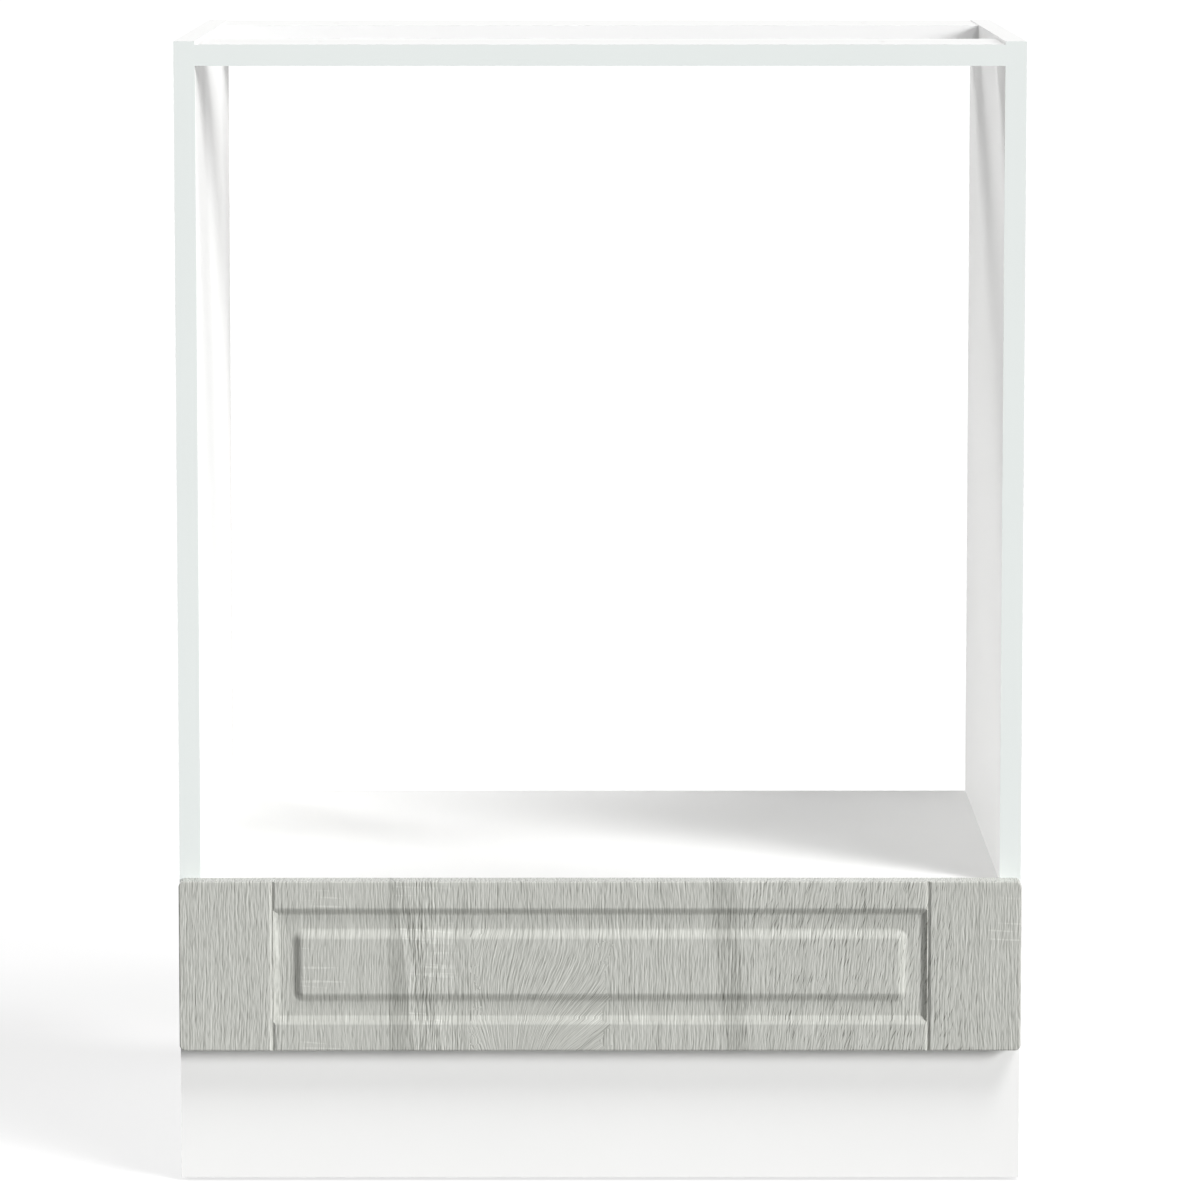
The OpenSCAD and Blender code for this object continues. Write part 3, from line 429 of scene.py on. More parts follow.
class Finish(Graph):
    """A material with one Principled shader."""

    def __init__(self, name, **sockets):
        self.material = bpy.data.materials.new(name)
        self.material.use_nodes = True
        super().__init__(self.material.node_tree)
        self.shader = self.tree.nodes["Principled BSDF"]
        for label, value in sockets.items():
            self.feed(self.shader.inputs[label.replace("_", " ")], value)
        place = self.node("ShaderNodeTexCoord")
        self.place = place.outputs["Object"]
        self.facing = place.outputs["Normal"]

    def laid(self, tree, **values):
        """Outputs of a node group that is laid over the surface."""
        return self.group(tree, Vector=self.place, **values)

    def coat(self, base, mottle=0.02, ripple=1.5 * MM):
        """Outputs of a coat over the surface."""
        return self.laid(coat_group(), Base=base, Ripple=ripple, Mottle=mottle)

    def chips(self):
        """Outputs of pressed chips over the surface."""
        colours = cabinet_settings()[0]
        return self.laid(chip_group(), Light=colours.core, Dark=colours.core_dark)

    def core(self, middle, half, bare_side=(0, 0, 0)):
        """One where a board of this middle and half size shows its core."""
        return self.laid(layer_group(), Middle=middle, Half=half, Bare_Side=bare_side)["Core"]

    def streaks(self, across, along, width, length, seed, detail):
        """Noise drawn out along the grain."""
        return self.group(
            streak_group(), Across=across, Along=along, Width=width, Length=length, Seed=seed, Detail=detail
        )["Value"]

    def surface(self, colour, roughness=None, height=None, depth=0.0):
        """Sets what varies over the surface."""
        self.feed(self.shader.inputs["Base Color"], colour)
        if roughness is not None:
            self.feed(self.shader.inputs["Roughness"], roughness)
        if height is not None:
            bump = self.node("ShaderNodeBump", {"Height": height, "Distance": depth, "Strength": 1.0})
            self.feed(self.shader.inputs["Normal"], bump.outputs[0])
        return self.material


def give(material, *nodes):
    """Puts a material on CAD nodes."""
    for node in nodes:
        slots = CAD_NODES[node].data.materials
        slots.clear()
        slots.append(material)


def cabinet_settings():
    """The groups of settings of this scene."""
    return [getattr(bpy.context.scene, name) for name in SETTINGS]


# ---- Finishes ----


def board_finish(node, bare_side=(0, 0, 0)):
    """Coated board: its faces and closed edges are coated, and its bores and bare side show chips."""
    low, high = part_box(node)
    finish = Finish("coated_board_" + node, Specular_IOR_Level=0.35)
    coat = finish.coat(cabinet_settings()[0].board, ripple=1.4 * MM)
    chips = finish.chips()
    core = finish.core((low + high) / 2, (high - low) / 2, bare_side)
    colour = finish.mix(core, coat["Color"], chips["Color"])
    rough = finish.ramp(core, 0, 1, coat["Roughness"], 0.85)
    height = finish.total(finish.product(coat["Height"], 0.12), finish.product(chips["Height"], core, 3.0))
    return finish.surface(colour, rough, height, 0.1 * MM)


class Foil(Finish):
    """Oak foil whose grain is upright, bends left of the front's middle and leans on the right."""

    def __init__(self, foil):
        super().__init__("oak_foil", Specular_IOR_Level=0.3)
        self.foil = foil
        x, y, z = self.split(self.place)
        facing = self.split(self.facing)
        depth = self.less(y, FRONT_LOW.y)
        side, level = [
            self.ramp(self.math("ABSOLUTE", facing[axis]), 0.6, 0.95, smooth=True) for axis in (0, 2)
        ]
        self.across = self.total(x, self.product(depth, side))
        self.height = self.total(z, self.product(depth, level))
        self.drop = self.less(self.height, FRONT_MID.z)
        lean = self.total(*[
            self.ramp(self.across, start * MM, full * MM, 0.0, slope, smooth=True)
            for start, full, slope in LEANS
        ])
        sway = self.product(self.flat_noise(self.across, 11.0, self.drop, 5.0), 9 * MM)
        ripple = self.product(self.flat_noise(self.across, 60.0, self.drop, 26.0), 2 * MM)
        self.grain = self.total(self.across, self.bend(), self.product(lean, self.drop, -1.0), sway, ripple)

    def bend(self):
        """How far the bent figure moves the grain aside."""
        foil, across = self.foil, self.across
        fall = self.product(self.over(foil.arch_top, self.height), 1 / MM)
        square = self.product(fall, fall)
        left_limb = self.less(self.product(fall, 0.32 * MM), self.product(square, 0.004 * MM))
        right_limb = self.product(square, 0.0075 * MM)
        share = self.ramp(across, foil.arch_left + 5 * MM, foil.arch_right - 23 * MM, smooth=True)
        ragged = self.flat_noise(across, 90.0, self.drop, 160.0)
        edge = self.total(across, self.product(self.less(ragged, 0.5), 26 * MM))
        inside = self.product(
            self.math("GREATER_THAN", edge, foil.arch_left), self.math("LESS_THAN", edge, foil.arch_right)
        )
        return self.product(self.blend(share, left_limb, right_limb), inside)

    def fine_streaks(self, grain):
        """Fine streaks as a value around zero: short ones and long ones together."""
        foil = self.foil
        short = self.streaks(grain, self.height, foil.streak_width, foil.short_streak, 3.0, 1.0)
        long = self.streaks(grain, self.height, foil.streak_width * 1.2, foil.long_streak, 23.0, 1.0)
        return self.less(self.total(short, long), 1.0)

    def saw_marks(self):
        """Thin pale level scratches, sparse and only in three patches."""
        across, drop = self.across, self.drop
        climb = self.total(self.height, self.product(across, 0.05))
        lines = self.flat_noise(across, 22.0, climb, 480.0, detail=0.0)
        sparse = self.flat_noise(across, 14.0, drop, 60.0, detail=0.0)
        patches = self.total(
            self.window(across, *SAWN_LEFT),
            self.window(across, *SAWN_MIDDLE),
            self.product(self.step(across, *SAWN_RIGHT), self.step(drop, *SAWN_ABOVE)),
        )
        return self.product(
            self.ramp(lines, 0.60, 0.78, smooth=True), self.ramp(sparse, 0.40, 0.62, smooth=True), patches
        )

    def bands(self):
        """Broad bands of tone in their places and faint ones by chance, and how much livelier or
        calmer the grain is."""
        across, drop = self.across, self.drop
        chance = self.streaks(self.grain, drop, self.foil.band_width, 0.5, 41.0, 2.0)
        wander = self.product(self.flat_noise(drop, 45.0), 5 * MM)
        slanted = self.total(across, self.product(drop, 0.11), wander)
        steep = self.total(across, self.product(drop, 0.23))
        leaning = self.total(across, self.product(drop, 0.09))
        tone = self.total(
            self.product(self.less(chance, 0.5), 0.34),
            self.product(self.window(across, *DARK_REACH), self.window(slanted, *DARK_LEFT), -0.30),
            self.product(self.window(steep, *DARK_STEEP), -0.22),
            self.product(self.window(leaning, *DARK_RIGHT), -0.24),
            self.product(self.window(slanted, *PALE_LINE), 0.16),
        )
        lively = self.product(self.window(slanted, *LIVELY), 0.6)
        return tone, self.less(lively, self.product(self.window(across, *CALM), 0.35))

    def printed(self, colours):
        """The whole surface: foil on the face and edges, with a painted highlight and a painted shade along
        the two sides of each grain streak, white coat on the back and bare core in the bores and the groove."""
        here = self.fine_streaks(self.grain)
        # Streaks moved a little across the grain. Taken from the streaks here, they paint a light side and a
        # shaded side on each streak, as its pressed relief would look lit from one side.
        shifted_for_painted_shade = self.fine_streaks(self.total(self.grain, self.foil.streak_width * 0.45))
        flecked = self.window(self.across, *FLECKED)
        slanting = self.less(self.grain, self.product(flecked, self.drop, 0.26))
        pores = self.streaks(slanting, self.height, 0.95 * MM, 13 * MM, 17.0, 0.0)
        dashes = self.product(
            self.ramp(pores, 0.66, 0.80, smooth=True), self.total(self.product(flecked, 0.9), 1.0)
        )
        bands, lively = self.bands()
        strength = self.product(self.total(lively, 1.0), self.foil.contrast)
        # Painted highlight and painted shade of the grain relief (the streaks here less the moved streaks),
        # plus the streaks' own printed tone.
        streaks = self.product(self.total(self.less(here, shifted_for_painted_shade), self.product(here, 0.7)), strength)
        tone = self.total(streaks, bands)
        darker = self.total(self.product(tone, -1.0), self.product(dashes, 0.30))
        lighter = self.total(tone, self.product(self.saw_marks(), 0.34))
        colour = self.mix(darker, colours.foil, colours.foil_line)
        colour = self.mix(lighter, colour, colours.foil_light)

        back = self.math("GREATER_THAN", self.split(self.place)[1], FRONT_HIGH.y - BACK_SKIN)
        hollow = self.core(FRONT_MID + HOLLOW_SHIFT, (FRONT_HIGH - FRONT_LOW) / 2 - HOLLOW_INSET)
        colour = self.mix(back, colour, self.coat(colours.board)["Color"])
        colour = self.mix(hollow, colour, self.chips()["Color"])
        relief = self.less(self.product(here, 1.6), self.product(dashes, 0.6))
        relief = self.product(relief, self.less(1.0, back))
        return self.surface(colour, self.ramp(here, -0.2, 0.2, 0.36, 0.27), relief, self.foil.relief)


def plain_finish(name, colour, ripple, mottle, depth):
    """Coated or moulded surface with a ripple of some millimetres."""
    finish = Finish(name)
    coat = finish.coat(getattr(cabinet_settings()[0], colour), mottle, ripple * MM)
    return finish.surface(coat["Color"], coat["Roughness"], coat["Height"], depth * MM)


def metal_finish(name, patch, strength, colour="steel", depth=0.01):
    """Plated or cast metal with patches of some millimetres and fine scratches."""
    finish = Finish(name, Metallic=1.0)
    base = getattr(cabinet_settings()[0], colour)
    plating = finish.laid(plating_group(), Base=base, Patch=patch * MM, Strength=strength)
    return finish.surface(plating["Color"], plating["Roughness"], plating["Height"], depth * MM)


def hardboard_finish(node, bare_side):
    """Hardboard: coated on its good side and brown fibre on the other and on its edges."""
    colours = cabinet_settings()[0]
    finish = Finish("hardboard_" + node)
    coat = finish.coat(colours.board)
    fibres = finish.laid(fibre_group(), Light=colours.fibre, Dark=colours.fibre_dark)
    bare = finish.math("GREATER_THAN", finish.dot(finish.facing, bare_side), -0.5)
    colour = finish.mix(bare, coat["Color"], fibres["Color"])
    rough = finish.ramp(bare, 0, 1, coat["Roughness"], 0.8)
    height = finish.total(finish.product(coat["Height"], 0.1), finish.product(fibres["Height"], bare))
    return finish.surface(colour, rough, height, 0.1 * MM)


def beech_finish(name, axis):
    """Beech with its grain along one axis, and the small dark flecks of that wood."""
    colours = cabinet_settings()[0]
    finish = Finish(name)
    place = finish.split(finish.place)
    across = finish.total(place[(axis + 1) % 3], finish.product(place[(axis + 2) % 3], 0.8))
    grain = finish.streaks(across, place[axis], 0.7 * MM, 14 * MM, 5.0, 2.0)
    fleck = finish.streaks(across, place[axis], 0.3 * MM, 1.8 * MM, 9.0, 0.0)
    mark = finish.ramp(fleck, 0.64, 0.74, 0.0, 0.8, smooth=True)
    shade = finish.total(mark, finish.ramp(grain, 0.3, 0.8, 0.0, 0.45))
    colour = finish.mix(shade, colours.beech, colours.beech_fleck)
    rough = finish.ramp(grain, 0.3, 0.7, 0.5, 0.65)
    return finish.surface(colour, rough, finish.less(grain, mark), 0.05 * MM)


# ---- Turned fasteners ----


class Shape(Graph):
    """Geometry Nodes tree that stands a turned piece on each point, its top out along the point's axis."""

    def __init__(self, name, lengths):
        super().__init__(bpy.data.node_groups.new(name, "GeometryNodeTree"))
        sockets = self.tree.interface
        sockets.new_socket("Points", in_out="INPUT", socket_type="NodeSocketGeometry")
        for label, millimetres in lengths.items():
            socket = sockets.new_socket(label, in_out="INPUT", socket_type="NodeSocketFloat")
            socket.subtype = "DISTANCE"
            socket.default_value = millimetres * MM
        sockets.new_socket("Finish", in_out="INPUT", socket_type="NodeSocketMaterial")
        sockets.new_socket("Pieces", in_out="OUTPUT", socket_type="NodeSocketGeometry")
        self.given = self.node("NodeGroupInput").outputs

    def position(self):
        """The three values of a vertex's place."""
        return self.split(self.node("GeometryNodeInputPosition").outputs[0])

    def moved(self, geometry, *place):
        """Geometry with its vertices moved to a place."""
        return self.node(
            "GeometryNodeSetPosition", {"Geometry": geometry, "Position": self.combine(*place)}
        ).outputs[0]

    def turned(self, sides, rings, rule, crowd):
        """Bar from z = 0 down by its length, with the radius that the rule gives for each depth and
        angle. Its rings crowd towards the top by a power of their share of the length."""
        sizes = {"Vertices": sides, "Side Segments": rings, "Radius": 1.0, "Depth": 1.0}
        bar = self.node("GeometryNodeMeshCylinder", sizes)
        x, y, z = self.position()
        depth = self.product(self.math("POWER", self.over(0.5, z), crowd), self.given["Length"])
        radius = rule(depth, self.math("ARCTAN2", y, x))
        return self.moved(
            bar.outputs["Mesh"], self.product(x, radius), self.product(y, radius), self.product(depth, -1.0)
        )

    def thread(self, depth, angle, radius, pitch, root):
        """Radius of a thread whose root is a share of its crest."""
        turn = self.less(self.math("DIVIDE", depth, pitch), self.math("DIVIDE", angle, TURN))
        ridge = self.product(self.math("PINGPONG", turn, 0.5), 2.0)
        return self.product(radius, self.total(self.product(self.math("POWER", ridge, 1.5), 1 - root), root))

    def point(self, depth, radii):
        """Share of the radius that is left where the shank comes to a point, some radii from its end."""
        start = self.less(self.given["Length"], self.product(self.given["Shank Radius"], radii))
        return self.ramp(depth, start, self.given["Length"], 1.0, BLUNT)

    def beyond(self, depth, limit, before, after):
        """One value above a depth and another below it."""
        return self.blend(self.math("GREATER_THAN", depth, limit), before, after)

    def cross(self, shape):
        """Cuts a cross into the top of a shape, narrower towards its floor."""
        reach = self.product(self.given["Head Radius"], CROSS_REACH)
        depth = self.given["Recess"]
        width = self.product(reach, 0.36)
        across = self.product(reach, 2.0)
        tall = self.product(depth, 2.0)
        bars = self.node("GeometryNodeJoinGeometry")
        for size in ((width, across, tall), (across, width, tall)):
            cube = self.node("GeometryNodeMeshCube", {"Size": self.combine(*size)})
            self.tree.links.new(cube.outputs["Mesh"], bars.inputs[0])
        x, y, z = self.position()
        narrow = self.ramp(z, self.product(depth, -1.0), depth, 0.35, 1.0)
        cutter = self.moved(bars.outputs[0], self.product(x, narrow), self.product(y, narrow), z)
        return self.node(
            "GeometryNodeMeshBoolean",
            {"Mesh 1": shape, "Mesh 2": cutter, "Self Intersection": True},
            operation="DIFFERENCE",
            solver="EXACT",
        ).outputs["Mesh"]

    def stand(self, shape, seed):
        """Ends the tree: the shape on each point, turned by chance about its axis, as real faces with
        their finish."""
        axis = self.node("GeometryNodeInputNamedAttribute", {"Name": "axis"}, data_type="FLOAT_VECTOR")
        upright = self.node(
            "FunctionNodeAlignRotationToVector", {"Vector": axis.outputs["Attribute"]}, axis="Z"
        )
        chance = self.node("FunctionNodeRandomValue", {2: 0.0, 3: TURN, "Seed": seed}, data_type="FLOAT")
        spin = self.node("FunctionNodeAxisAngleToRotation", {"Axis": (0, 0, 1), "Angle": chance.outputs[1]})
        turned = self.node(
            "FunctionNodeRotateRotation",
            {"Rotation": upright.outputs[0], "Rotate By": spin.outputs[0]},
            rotation_space="LOCAL",
        )
        placed = self.node(
            "GeometryNodeInstanceOnPoints",
            {"Points": self.given["Points"], "Instance": shape, "Rotation": turned.outputs[0]},
        )
        real = self.node("GeometryNodeRealizeInstances", {"Geometry": placed.outputs[0]})
        done = self.node(
            "GeometryNodeSetMaterial", {"Geometry": real.outputs[0], "Material": self.given["Finish"]}
        )
        self.feed(self.node("NodeGroupOutput").inputs[0], done.outputs[0])
        return self.tree


def screw_tree(name, flat):
    """Wood screw with a flat or a pan head, a cross and a thread down to its point."""
    lengths = {"Length": 13.8, "Head Radius": 3.25, "Head Height": 1.8, "Shank Radius": 1.75}
    shape = Shape(name, {**lengths, "Pitch": 1.4, "Recess": 1.5})
    given = shape.given

    def radius(depth, angle):
        thread = shape.thread(depth, angle, given["Shank Radius"], given["Pitch"], 0.66)
        thread = shape.product(thread, shape.point(depth, 3.0))
        if flat:
            cone = shape.less(given["Head Radius"], shape.over(depth, given["Head Height"]))
            return shape.math("MAXIMUM", cone, thread)
        rise = shape.ramp(depth, shape.product(given["Head Height"], 0.6), 0.0)
        bevel = shape.product(shape.math("POWER", rise, 1.5), given["Head Height"], 0.6)
        plain = shape.product(given["Shank Radius"], 0.8)
        shank = shape.beyond(depth, shape.total(given["Head Height"], 0.7 * MM), plain, thread)
        return shape.beyond(depth, given["Head Height"], shape.less(given["Head Radius"], bevel), shank)

    return shape.stand(shape.cross(shape.turned(24, 64, radius, crowd=1.5)), 3)


def dowel_tree():
    """Dowel with bevelled ends and grooves along it for the glue."""
    shape = Shape("Fluted Dowel", {"Length": 30, "Radius": 4, "Bevel": 1, "Flute Depth": 0.3})
    given = shape.given

    def radius(depth, angle):
        end = shape.math("MINIMUM", depth, shape.less(given["Length"], depth))
        wave = shape.ramp(shape.math("COSINE", shape.product(angle, 18.0)), -1, 1, 0, 1)
        fade = shape.ramp(end, given["Bevel"], shape.product(given["Bevel"], 1.6))
        body = shape.less(given["Radius"], shape.over(given["Bevel"], end))
        return shape.less(body, shape.product(wave, fade, given["Flute Depth"]))

    return shape.stand(shape.turned(90, 30, radius, crowd=1.0), 5)


def nail_tree():
    """Flat-headed nail with grip rings below its head and a point."""
    lengths = {"Length": 20, "Head Radius": 1.8, "Head Height": 0.6, "Shank Radius": 0.8}
    shape = Shape("Wire Nail", {**lengths, "Grip Depth": 0.1})
    given = shape.given

    def radius(depth, angle):
        rings = shape.math("PINGPONG", shape.math("DIVIDE", depth, 0.9 * MM), 0.5)
        grip = shape.product(rings, 2.0, given["Grip Depth"])
        shank = shape.beyond(depth, 5 * MM, shape.less(given["Shank Radius"], grip), given["Shank Radius"])
        head = shape.less(given["Head Radius"], shape.over(0.12 * MM, depth))
        return shape.beyond(depth, given["Head Height"], head, shape.product(shank, shape.point(depth, 4.0)))

    return shape.stand(shape.turned(16, 60, radius, crowd=1.8), 7)


def bolt_tree():
    """Cam bolt from its head down: head, neck, shank, collar and a coarse thread."""
    shape = Shape("Cam Bolt", {"Length": 36.2, "Head Radius": 3.5, "Pitch": 1.8, "Recess": 1.2})
    given = shape.given

    def radius(depth, angle):
        up = shape.less(given["Length"], depth)
        thread = shape.thread(depth, angle, 2.5 * MM, given["Pitch"], 0.7)
        thread = shape.product(thread, shape.ramp(up, 0, 1.2 * MM, 0.6, 1.0))
        lower = shape.beyond(up, BOLT_THREAD, thread, 3.7 * MM)
        lower = shape.beyond(up, BOLT_COLLAR, lower, 3.0 * MM)
        neck = shape.math("MINIMUM", shape.total(2.0 * MM, shape.over(depth, BOLT_NECK)), lower)
        head = shape.less(given["Head Radius"], shape.over(0.4 * MM, depth))
        return shape.beyond(depth, BOLT_HEAD, head, neck)

    return shape.stand(shape.cross(shape.turned(20, 130, radius, crowd=1.0)), 9)


def loose_solids(node):
    """Vertices of each loose solid of a CAD node, in the node's own order."""
    shape = bmesh.new()
    shape.from_mesh(CAD_NODES[node].data)
    bmesh.ops.remove_doubles(shape, verts=shape.verts, dist=0.001 * MM)
    solids, found = [], set()
    for first in shape.verts:
        if first in found:
            continue
        found.add(first)
        queue, solid = [first], []
        while queue:
            here = queue.pop()
            solid.append(here.co.copy())
            for edge in here.link_edges:
                other = edge.other_vert(here)
                if other not in found:
                    found.add(other)
                    queue.append(other)
        solids.append(solid)
    shape.free()
    return solids


def top_and_axis(solid):
    """Middle of a turned solid's wider end, the axis out of that end, its length and its widest radius."""
    low, high = [Vector([pick(co[k] for co in solid) for k in range(3)]) for pick in (min, max)]
    size = high - low
    k = max(range(3), key=lambda index: size[index])
    axis = Vector([float(index == k) for index in range(3)])
    middle = (low + high) / 2

    def girth(vertices):
        return max((co - middle - axis * (co - middle).dot(axis)).length for co in vertices)

    ends = [
        girth([co for co in solid if (co - middle).dot(axis) * sign > size[k] * 0.48]) for sign in (-1, 1)
    ]
    if ends[0] > ends[1] + 0.01 * MM:
        axis = -axis
    return middle + axis * size[k] / 2, axis, size[k], girth(solid)


def plant(node, tree, finish, slot="bright_steel", **sizes):
    """Replaces a node of like fasteners by the tree's detailed ones, each in the place of its CAD
    solid and on the drawer or the carcass."""
    body = "drawer" if node.startswith("drawer_") else "carcass"
    spots = [top_and_axis(solid) for solid in loose_solids(node)]
    mesh = bpy.data.meshes.new(node + "_points")
    mesh.from_pydata([spot[0] for spot in spots], [], [])
    axes = mesh.attributes.new("axis", "FLOAT_VECTOR", "POINT")
    for item, spot in zip(axes.data, spots):
        item.vector = spot[1]
    piece = bpy.data.objects.new(node + "_detailed", mesh)
    bpy.context.scene.collection.objects.link(piece)
    length, widest = spots[0][2:]
    values = {"Length": length, "Head Radius": widest, "Radius": widest, "Finish": finish}
    values.update({name.replace("_", " "): value for name, value in sizes.items()})
    modifier = piece.modifiers.new("fasteners", "NODES")
    modifier.node_group = tree
    for item in tree.interface.items_tree:
        if item.in_out == "INPUT" and item.name in values:
            modifier[item.identifier] = values[item.name]
    view = bpy.context.evaluated_depsgraph_get()
    done = bpy.data.meshes.new_from_object(piece.evaluated_get(view), depsgraph=view)
    if len(done.polygons) == 0:
        raise RuntimeError(node + " came out empty")
    piece.modifiers.clear()
    piece.data = done
    bpy.data.meshes.remove(mesh)
    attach(piece, body)
    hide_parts(node)


# ---- Operators ----


class CABINET_OT_boards(bpy.types.Operator):
    """Coats the carcass boards, with chips showing in their bores and on their bare sides"""

    bl_idname = "cabinet.boards"
    bl_label = "Carcass Boards"

    def execute(self, context):
        for node in ("side_panel_left", "side_panel_right", "back_rail"):
            give(board_finish(node, bare_side=(0, 1, 0)), node)
        for node in ("bottom_panel", "oven_shelf", "front_rail", "plinth_board"):
            give(board_finish(node), node)
        return {"FINISHED"}


class CABINET_OT_bands(bpy.types.Operator):
    """Gives the edge bands their cool white, and the back rail's band a neutral one"""

    bl_idname = "cabinet.bands"
    bl_label = "Edge Bands"

    def execute(self, context):
        band = plain_finish("edge_band", "band", 0.8, 0.02, 0.01)
        give(band, *[node for node in CAD_NODES if node.startswith("edge_band_")])
        back = plain_finish("back_rail_band", "back_band", 0.8, 0.02, 0.01)
        give(back, "edge_band_back_rail")
        return {"FINISHED"}


class CABINET_OT_drawer_front(bpy.types.Operator):
    """Wraps the drawer front in its oak foil"""

    bl_idname = "cabinet.drawer_front"
    bl_label = "Drawer Front"

    def execute(self, context):
        colours, foil, *_ = cabinet_settings()
        give(Foil(foil).printed(colours), "drawer_front")
        return {"FINISHED"}


class CABINET_OT_drawer_box(bpy.types.Operator):
    """Finishes the drawer's sides, back and bottom, and the thin back panel"""

    bl_idname = "cabinet.drawer_box"
    bl_label = "Drawer Box"

    def execute(self, context):
        for node in ("drawer_side_left", "drawer_side_right", "drawer_back"):
            give(board_finish(node), node)
        for node, side in (("lower_back_panel", (0, 1, 0)), ("drawer_bottom", (0, 0, -1))):
            give(hardboard_finish(node, side), node)
        return {"FINISHED"}


class CABINET_OT_runners(bpy.types.Operator):
    """Coats the runners and finishes the rollers"""

    bl_idname = "cabinet.runners"
    bl_label = "Runners and Rollers"

    def execute(self, context):
        coated = plain_finish("coated_steel", "runner", 0.9, 0.03, 0.03)
        for side in ("left", "right"):
            give(coated, "cabinet_runner_" + side, "drawer_runner_" + side)
        nylon = plain_finish("nylon", "nylon", 0.5, 0.03, 0.01)
        give(nylon, *[node for node in CAD_NODES if "roller_left" in node or "roller_right" in node])
        return {"FINISHED"}


class CABINET_OT_fittings(bpy.types.Operator):
    """Finishes the cam locks, axles, brackets and floor glides"""

    bl_idname = "cabinet.fittings"
    bl_label = "Fittings"

    def execute(self, context):
        zinc = metal_finish("cast_zinc", 0.9, 0.25, "zinc", 0.05)
        give(zinc, "carcass_cam_locks", "drawer_cam_locks")
        give(metal_finish("galvanised_steel", 4, 0.30), "plinth_brackets")
        give(metal_finish("axle_steel", 6, 0.1), "front_roller_axles", "rear_roller_axles")
        give(plain_finish("glide_plastic", "glide", 0.4, 0.06, 0.05), "floor_glides")
        return {"FINISHED"}


class CABINET_OT_screws(bpy.types.Operator):
    """Makes the wood screws, with a thread and a cross"""

    bl_idname = "cabinet.screws"
    bl_label = "Screws"

    def execute(self, context):
        sizes = context.scene.cabinet_fasteners
        steel = metal_finish("screw_steel", 3, 0.12)
        pan = screw_tree("Pan Head Screw", False)
        flat = screw_tree("Flat Head Screw", True)
        for node, tree, head, shank in (
            ("plinth_bracket_screws", pan, 1.8, 1.75),
            ("drawer_runner_screws", pan, 1.5, 1.5),
            ("cabinet_runner_screws", flat, 0.3, 1.75),
            ("drawer_back_screws", flat, 0.3, 2.0),
        ):
            plant(
                node, tree, steel,
                Head_Height=head * MM, Shank_Radius=shank * MM, Pitch=sizes.pitch, Recess=sizes.recess,
            )
        return {"FINISHED"}


class CABINET_OT_nails(bpy.types.Operator):
    """Makes the nails of the thin back panel and of the drawer's bottom"""

    bl_idname = "cabinet.nails"
    bl_label = "Nails"

    def execute(self, context):
        grip = context.scene.cabinet_fasteners.grip_depth
        wire = metal_finish("nail_wire", 2, 0.2)
        tree = nail_tree()
        plant("back_panel_nails", tree, wire, Grip_Depth=grip)
        plant("drawer_bottom_nails", tree, wire, Grip_Depth=grip)
        return {"FINISHED"}


class CABINET_OT_bolts(bpy.types.Operator):
    """Makes the bolts that the cam locks draw in"""

    bl_idname = "cabinet.bolts"
    bl_label = "Cam Bolts"

    def execute(self, context):
        pitch = context.scene.cabinet_fasteners.fine_pitch
        steel = metal_finish("bolt_steel", 3, 0.15)
        tree = bolt_tree()
        plant("carcass_cam_bolts", tree, steel, Pitch=pitch)
        plant("drawer_cam_bolts", tree, steel, Pitch=pitch)
        return {"FINISHED"}


class CABINET_OT_dowels(bpy.types.Operator):
    """Makes the fluted beech dowels"""

    bl_idname = "cabinet.dowels"
    bl_label = "Dowels"

    def execute(self, context):
        flute = context.scene.cabinet_fasteners.flute_depth
        tree = dowel_tree()
        for node, axis in (("carcass_dowels", 0), ("drawer_dowels", 1)):
            plant(node, tree, beech_finish("beech_" + node, axis), "beech", Flute_Depth=flute)
        return {"FINISHED"}


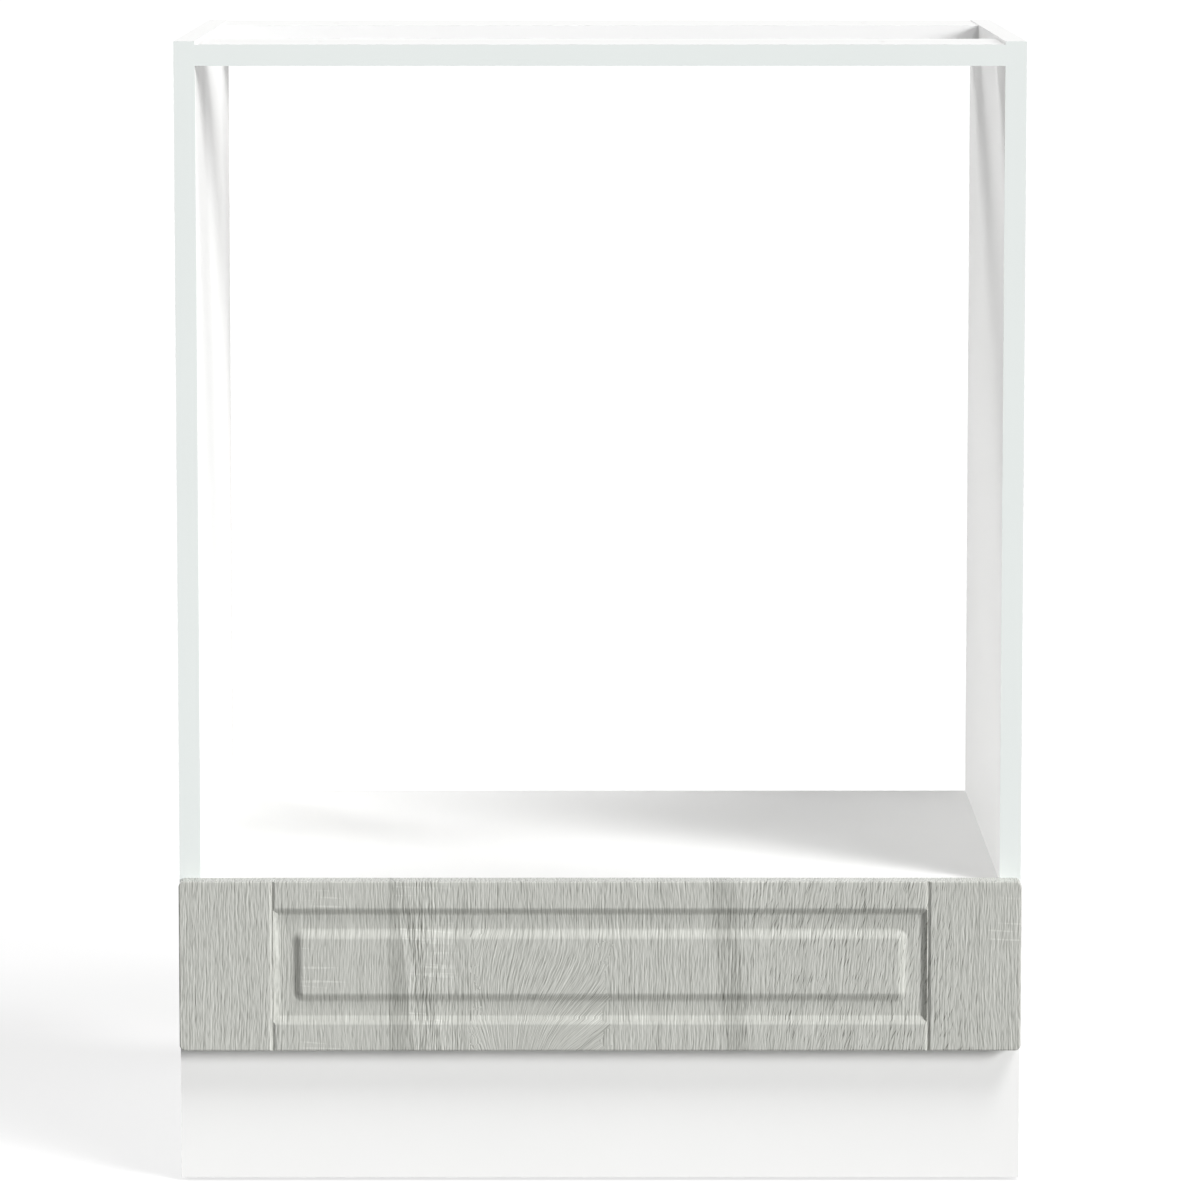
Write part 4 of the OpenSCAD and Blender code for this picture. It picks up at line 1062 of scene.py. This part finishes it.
class CABINET_OT_stage(bpy.types.Operator):
    """Makes the floor, the lights, the sky and the camera"""

    bl_idname = "cabinet.stage"
    bl_label = "Stage"

    def execute(self, context):
        scene = context.scene
        stage = scene.cabinet_stage
        scene.view_settings.view_transform = "Standard"

        camera = bpy.data.cameras.new("camera")
        camera.sensor_width = 36
        camera.lens = stage.camera_lens
        camera.clip_end = 200
        turn = (math.pi / 2 - stage.camera_tilt, 0, stage.camera_turn)
        scene.camera = self.hang(scene, "camera", camera, turn)
        scene.camera.location = stage.camera_place

        for name, setting, turn, rise in LAMPS:
            lamp = bpy.data.lights.new(name, "SUN")
            lamp.energy = getattr(stage, setting)
            lamp.angle = stage.lamp_spread
            self.hang(scene, name, lamp, (math.radians(90 - rise), 0, math.radians(turn)))

        self.make_sky(scene, stage)
        self.make_floor(scene, stage)
        return {"FINISHED"}

    @staticmethod
    def hang(scene, name, data, turn):
        """New object of a lamp, camera or mesh in the scene, turned by three angles."""
        made = bpy.data.objects.new(name, data)
        made.rotation_euler = Euler(turn)
        scene.collection.objects.link(made)
        return made

    def make_sky(self, scene, stage):
        """Even light, with white behind the object for the camera and in reflections."""
        world = bpy.data.worlds.new("sky")
        world.use_nodes = True
        graph = Graph(world.node_tree)
        background = world.node_tree.nodes["Background"]
        graph.feed(background.inputs["Color"], WHITE)
        graph.feed(background.inputs["Strength"], graph.ramp(self.seen(graph), 0, 1, stage.sky, 1.0))
        scene.world = world

    def make_floor(self, scene, stage):
        """Wide pale floor that the camera sees as white, apart from the object's shadow."""
        mesh = bpy.data.meshes.new("floor")
        shape = bmesh.new()
        bmesh.ops.create_circle(shape, cap_ends=True, radius=60, segments=96)
        shape.to_mesh(mesh)
        shape.free()
        floor = self.hang(scene, "floor", mesh, (0, 0, 0))
        finish = Finish("studio_floor", Roughness=1.0, Specular_IOR_Level=0.0)
        dark, light = [(stage.floor_tone * share,) * 3 for share in (0.98, 1.02)]
        finish.surface(finish.mix(finish.noise(finish.place, scale=3.0), dark, light))
        finish.feed(finish.shader.inputs["Emission Color"], WHITE)
        glow = finish.product(self.seen(finish), stage.floor_glow)
        finish.feed(finish.shader.inputs["Emission Strength"], glow)
        mesh.materials.append(finish.material)

    @staticmethod
    def seen(graph):
        """One for rays that come from the camera, directly or by way of gloss or glass."""
        path = graph.node("ShaderNodeLightPath").outputs
        kinds = ("Is Camera Ray", "Is Glossy Ray", "Is Transmission Ray")
        return graph.math("MAXIMUM", *[path[kind] for kind in kinds])


class CABINET_PT_panel(bpy.types.Panel):
    """Buttons and settings of the cabinet"""

    bl_idname = "CABINET_PT_panel"
    bl_label = "Cabinet"
    bl_space_type = "VIEW_3D"
    bl_region_type = "UI"
    bl_category = "Cabinet"

    def draw(self, context):
        for step in STEPS:
            self.layout.operator(step.bl_idname)
        for settings in cabinet_settings():
            box = self.layout.box()
            for name in type(settings).__annotations__:
                box.prop(settings, name)


STEPS = (
    CABINET_OT_stage,
    CABINET_OT_boards,
    CABINET_OT_bands,
    CABINET_OT_drawer_front,
    CABINET_OT_drawer_box,
    CABINET_OT_runners,
    CABINET_OT_fittings,
    CABINET_OT_screws,
    CABINET_OT_nails,
    CABINET_OT_bolts,
    CABINET_OT_dowels,
)
SETTINGS = {
    "cabinet_colours": CabinetColours,
    "cabinet_foil": CabinetFoil,
    "cabinet_fasteners": CabinetFasteners,
    "cabinet_stage": CabinetStage,
}
CLASSES = (*SETTINGS.values(), *STEPS, CABINET_PT_panel)


def register():
    for each in CLASSES:
        bpy.utils.register_class(each)
    for name, settings in SETTINGS.items():
        setattr(bpy.types.Scene, name, PointerProperty(type=settings))


def unregister():
    for name in SETTINGS:
        delattr(bpy.types.Scene, name)
    for each in reversed(CLASSES):
        bpy.utils.unregister_class(each)


def main():
    """Makes everything in order."""
    register()
    for step in STEPS:
        group, name = step.bl_idname.split(".")
        getattr(getattr(bpy.ops, group), name)()


if __name__ == "__main__":
    main()
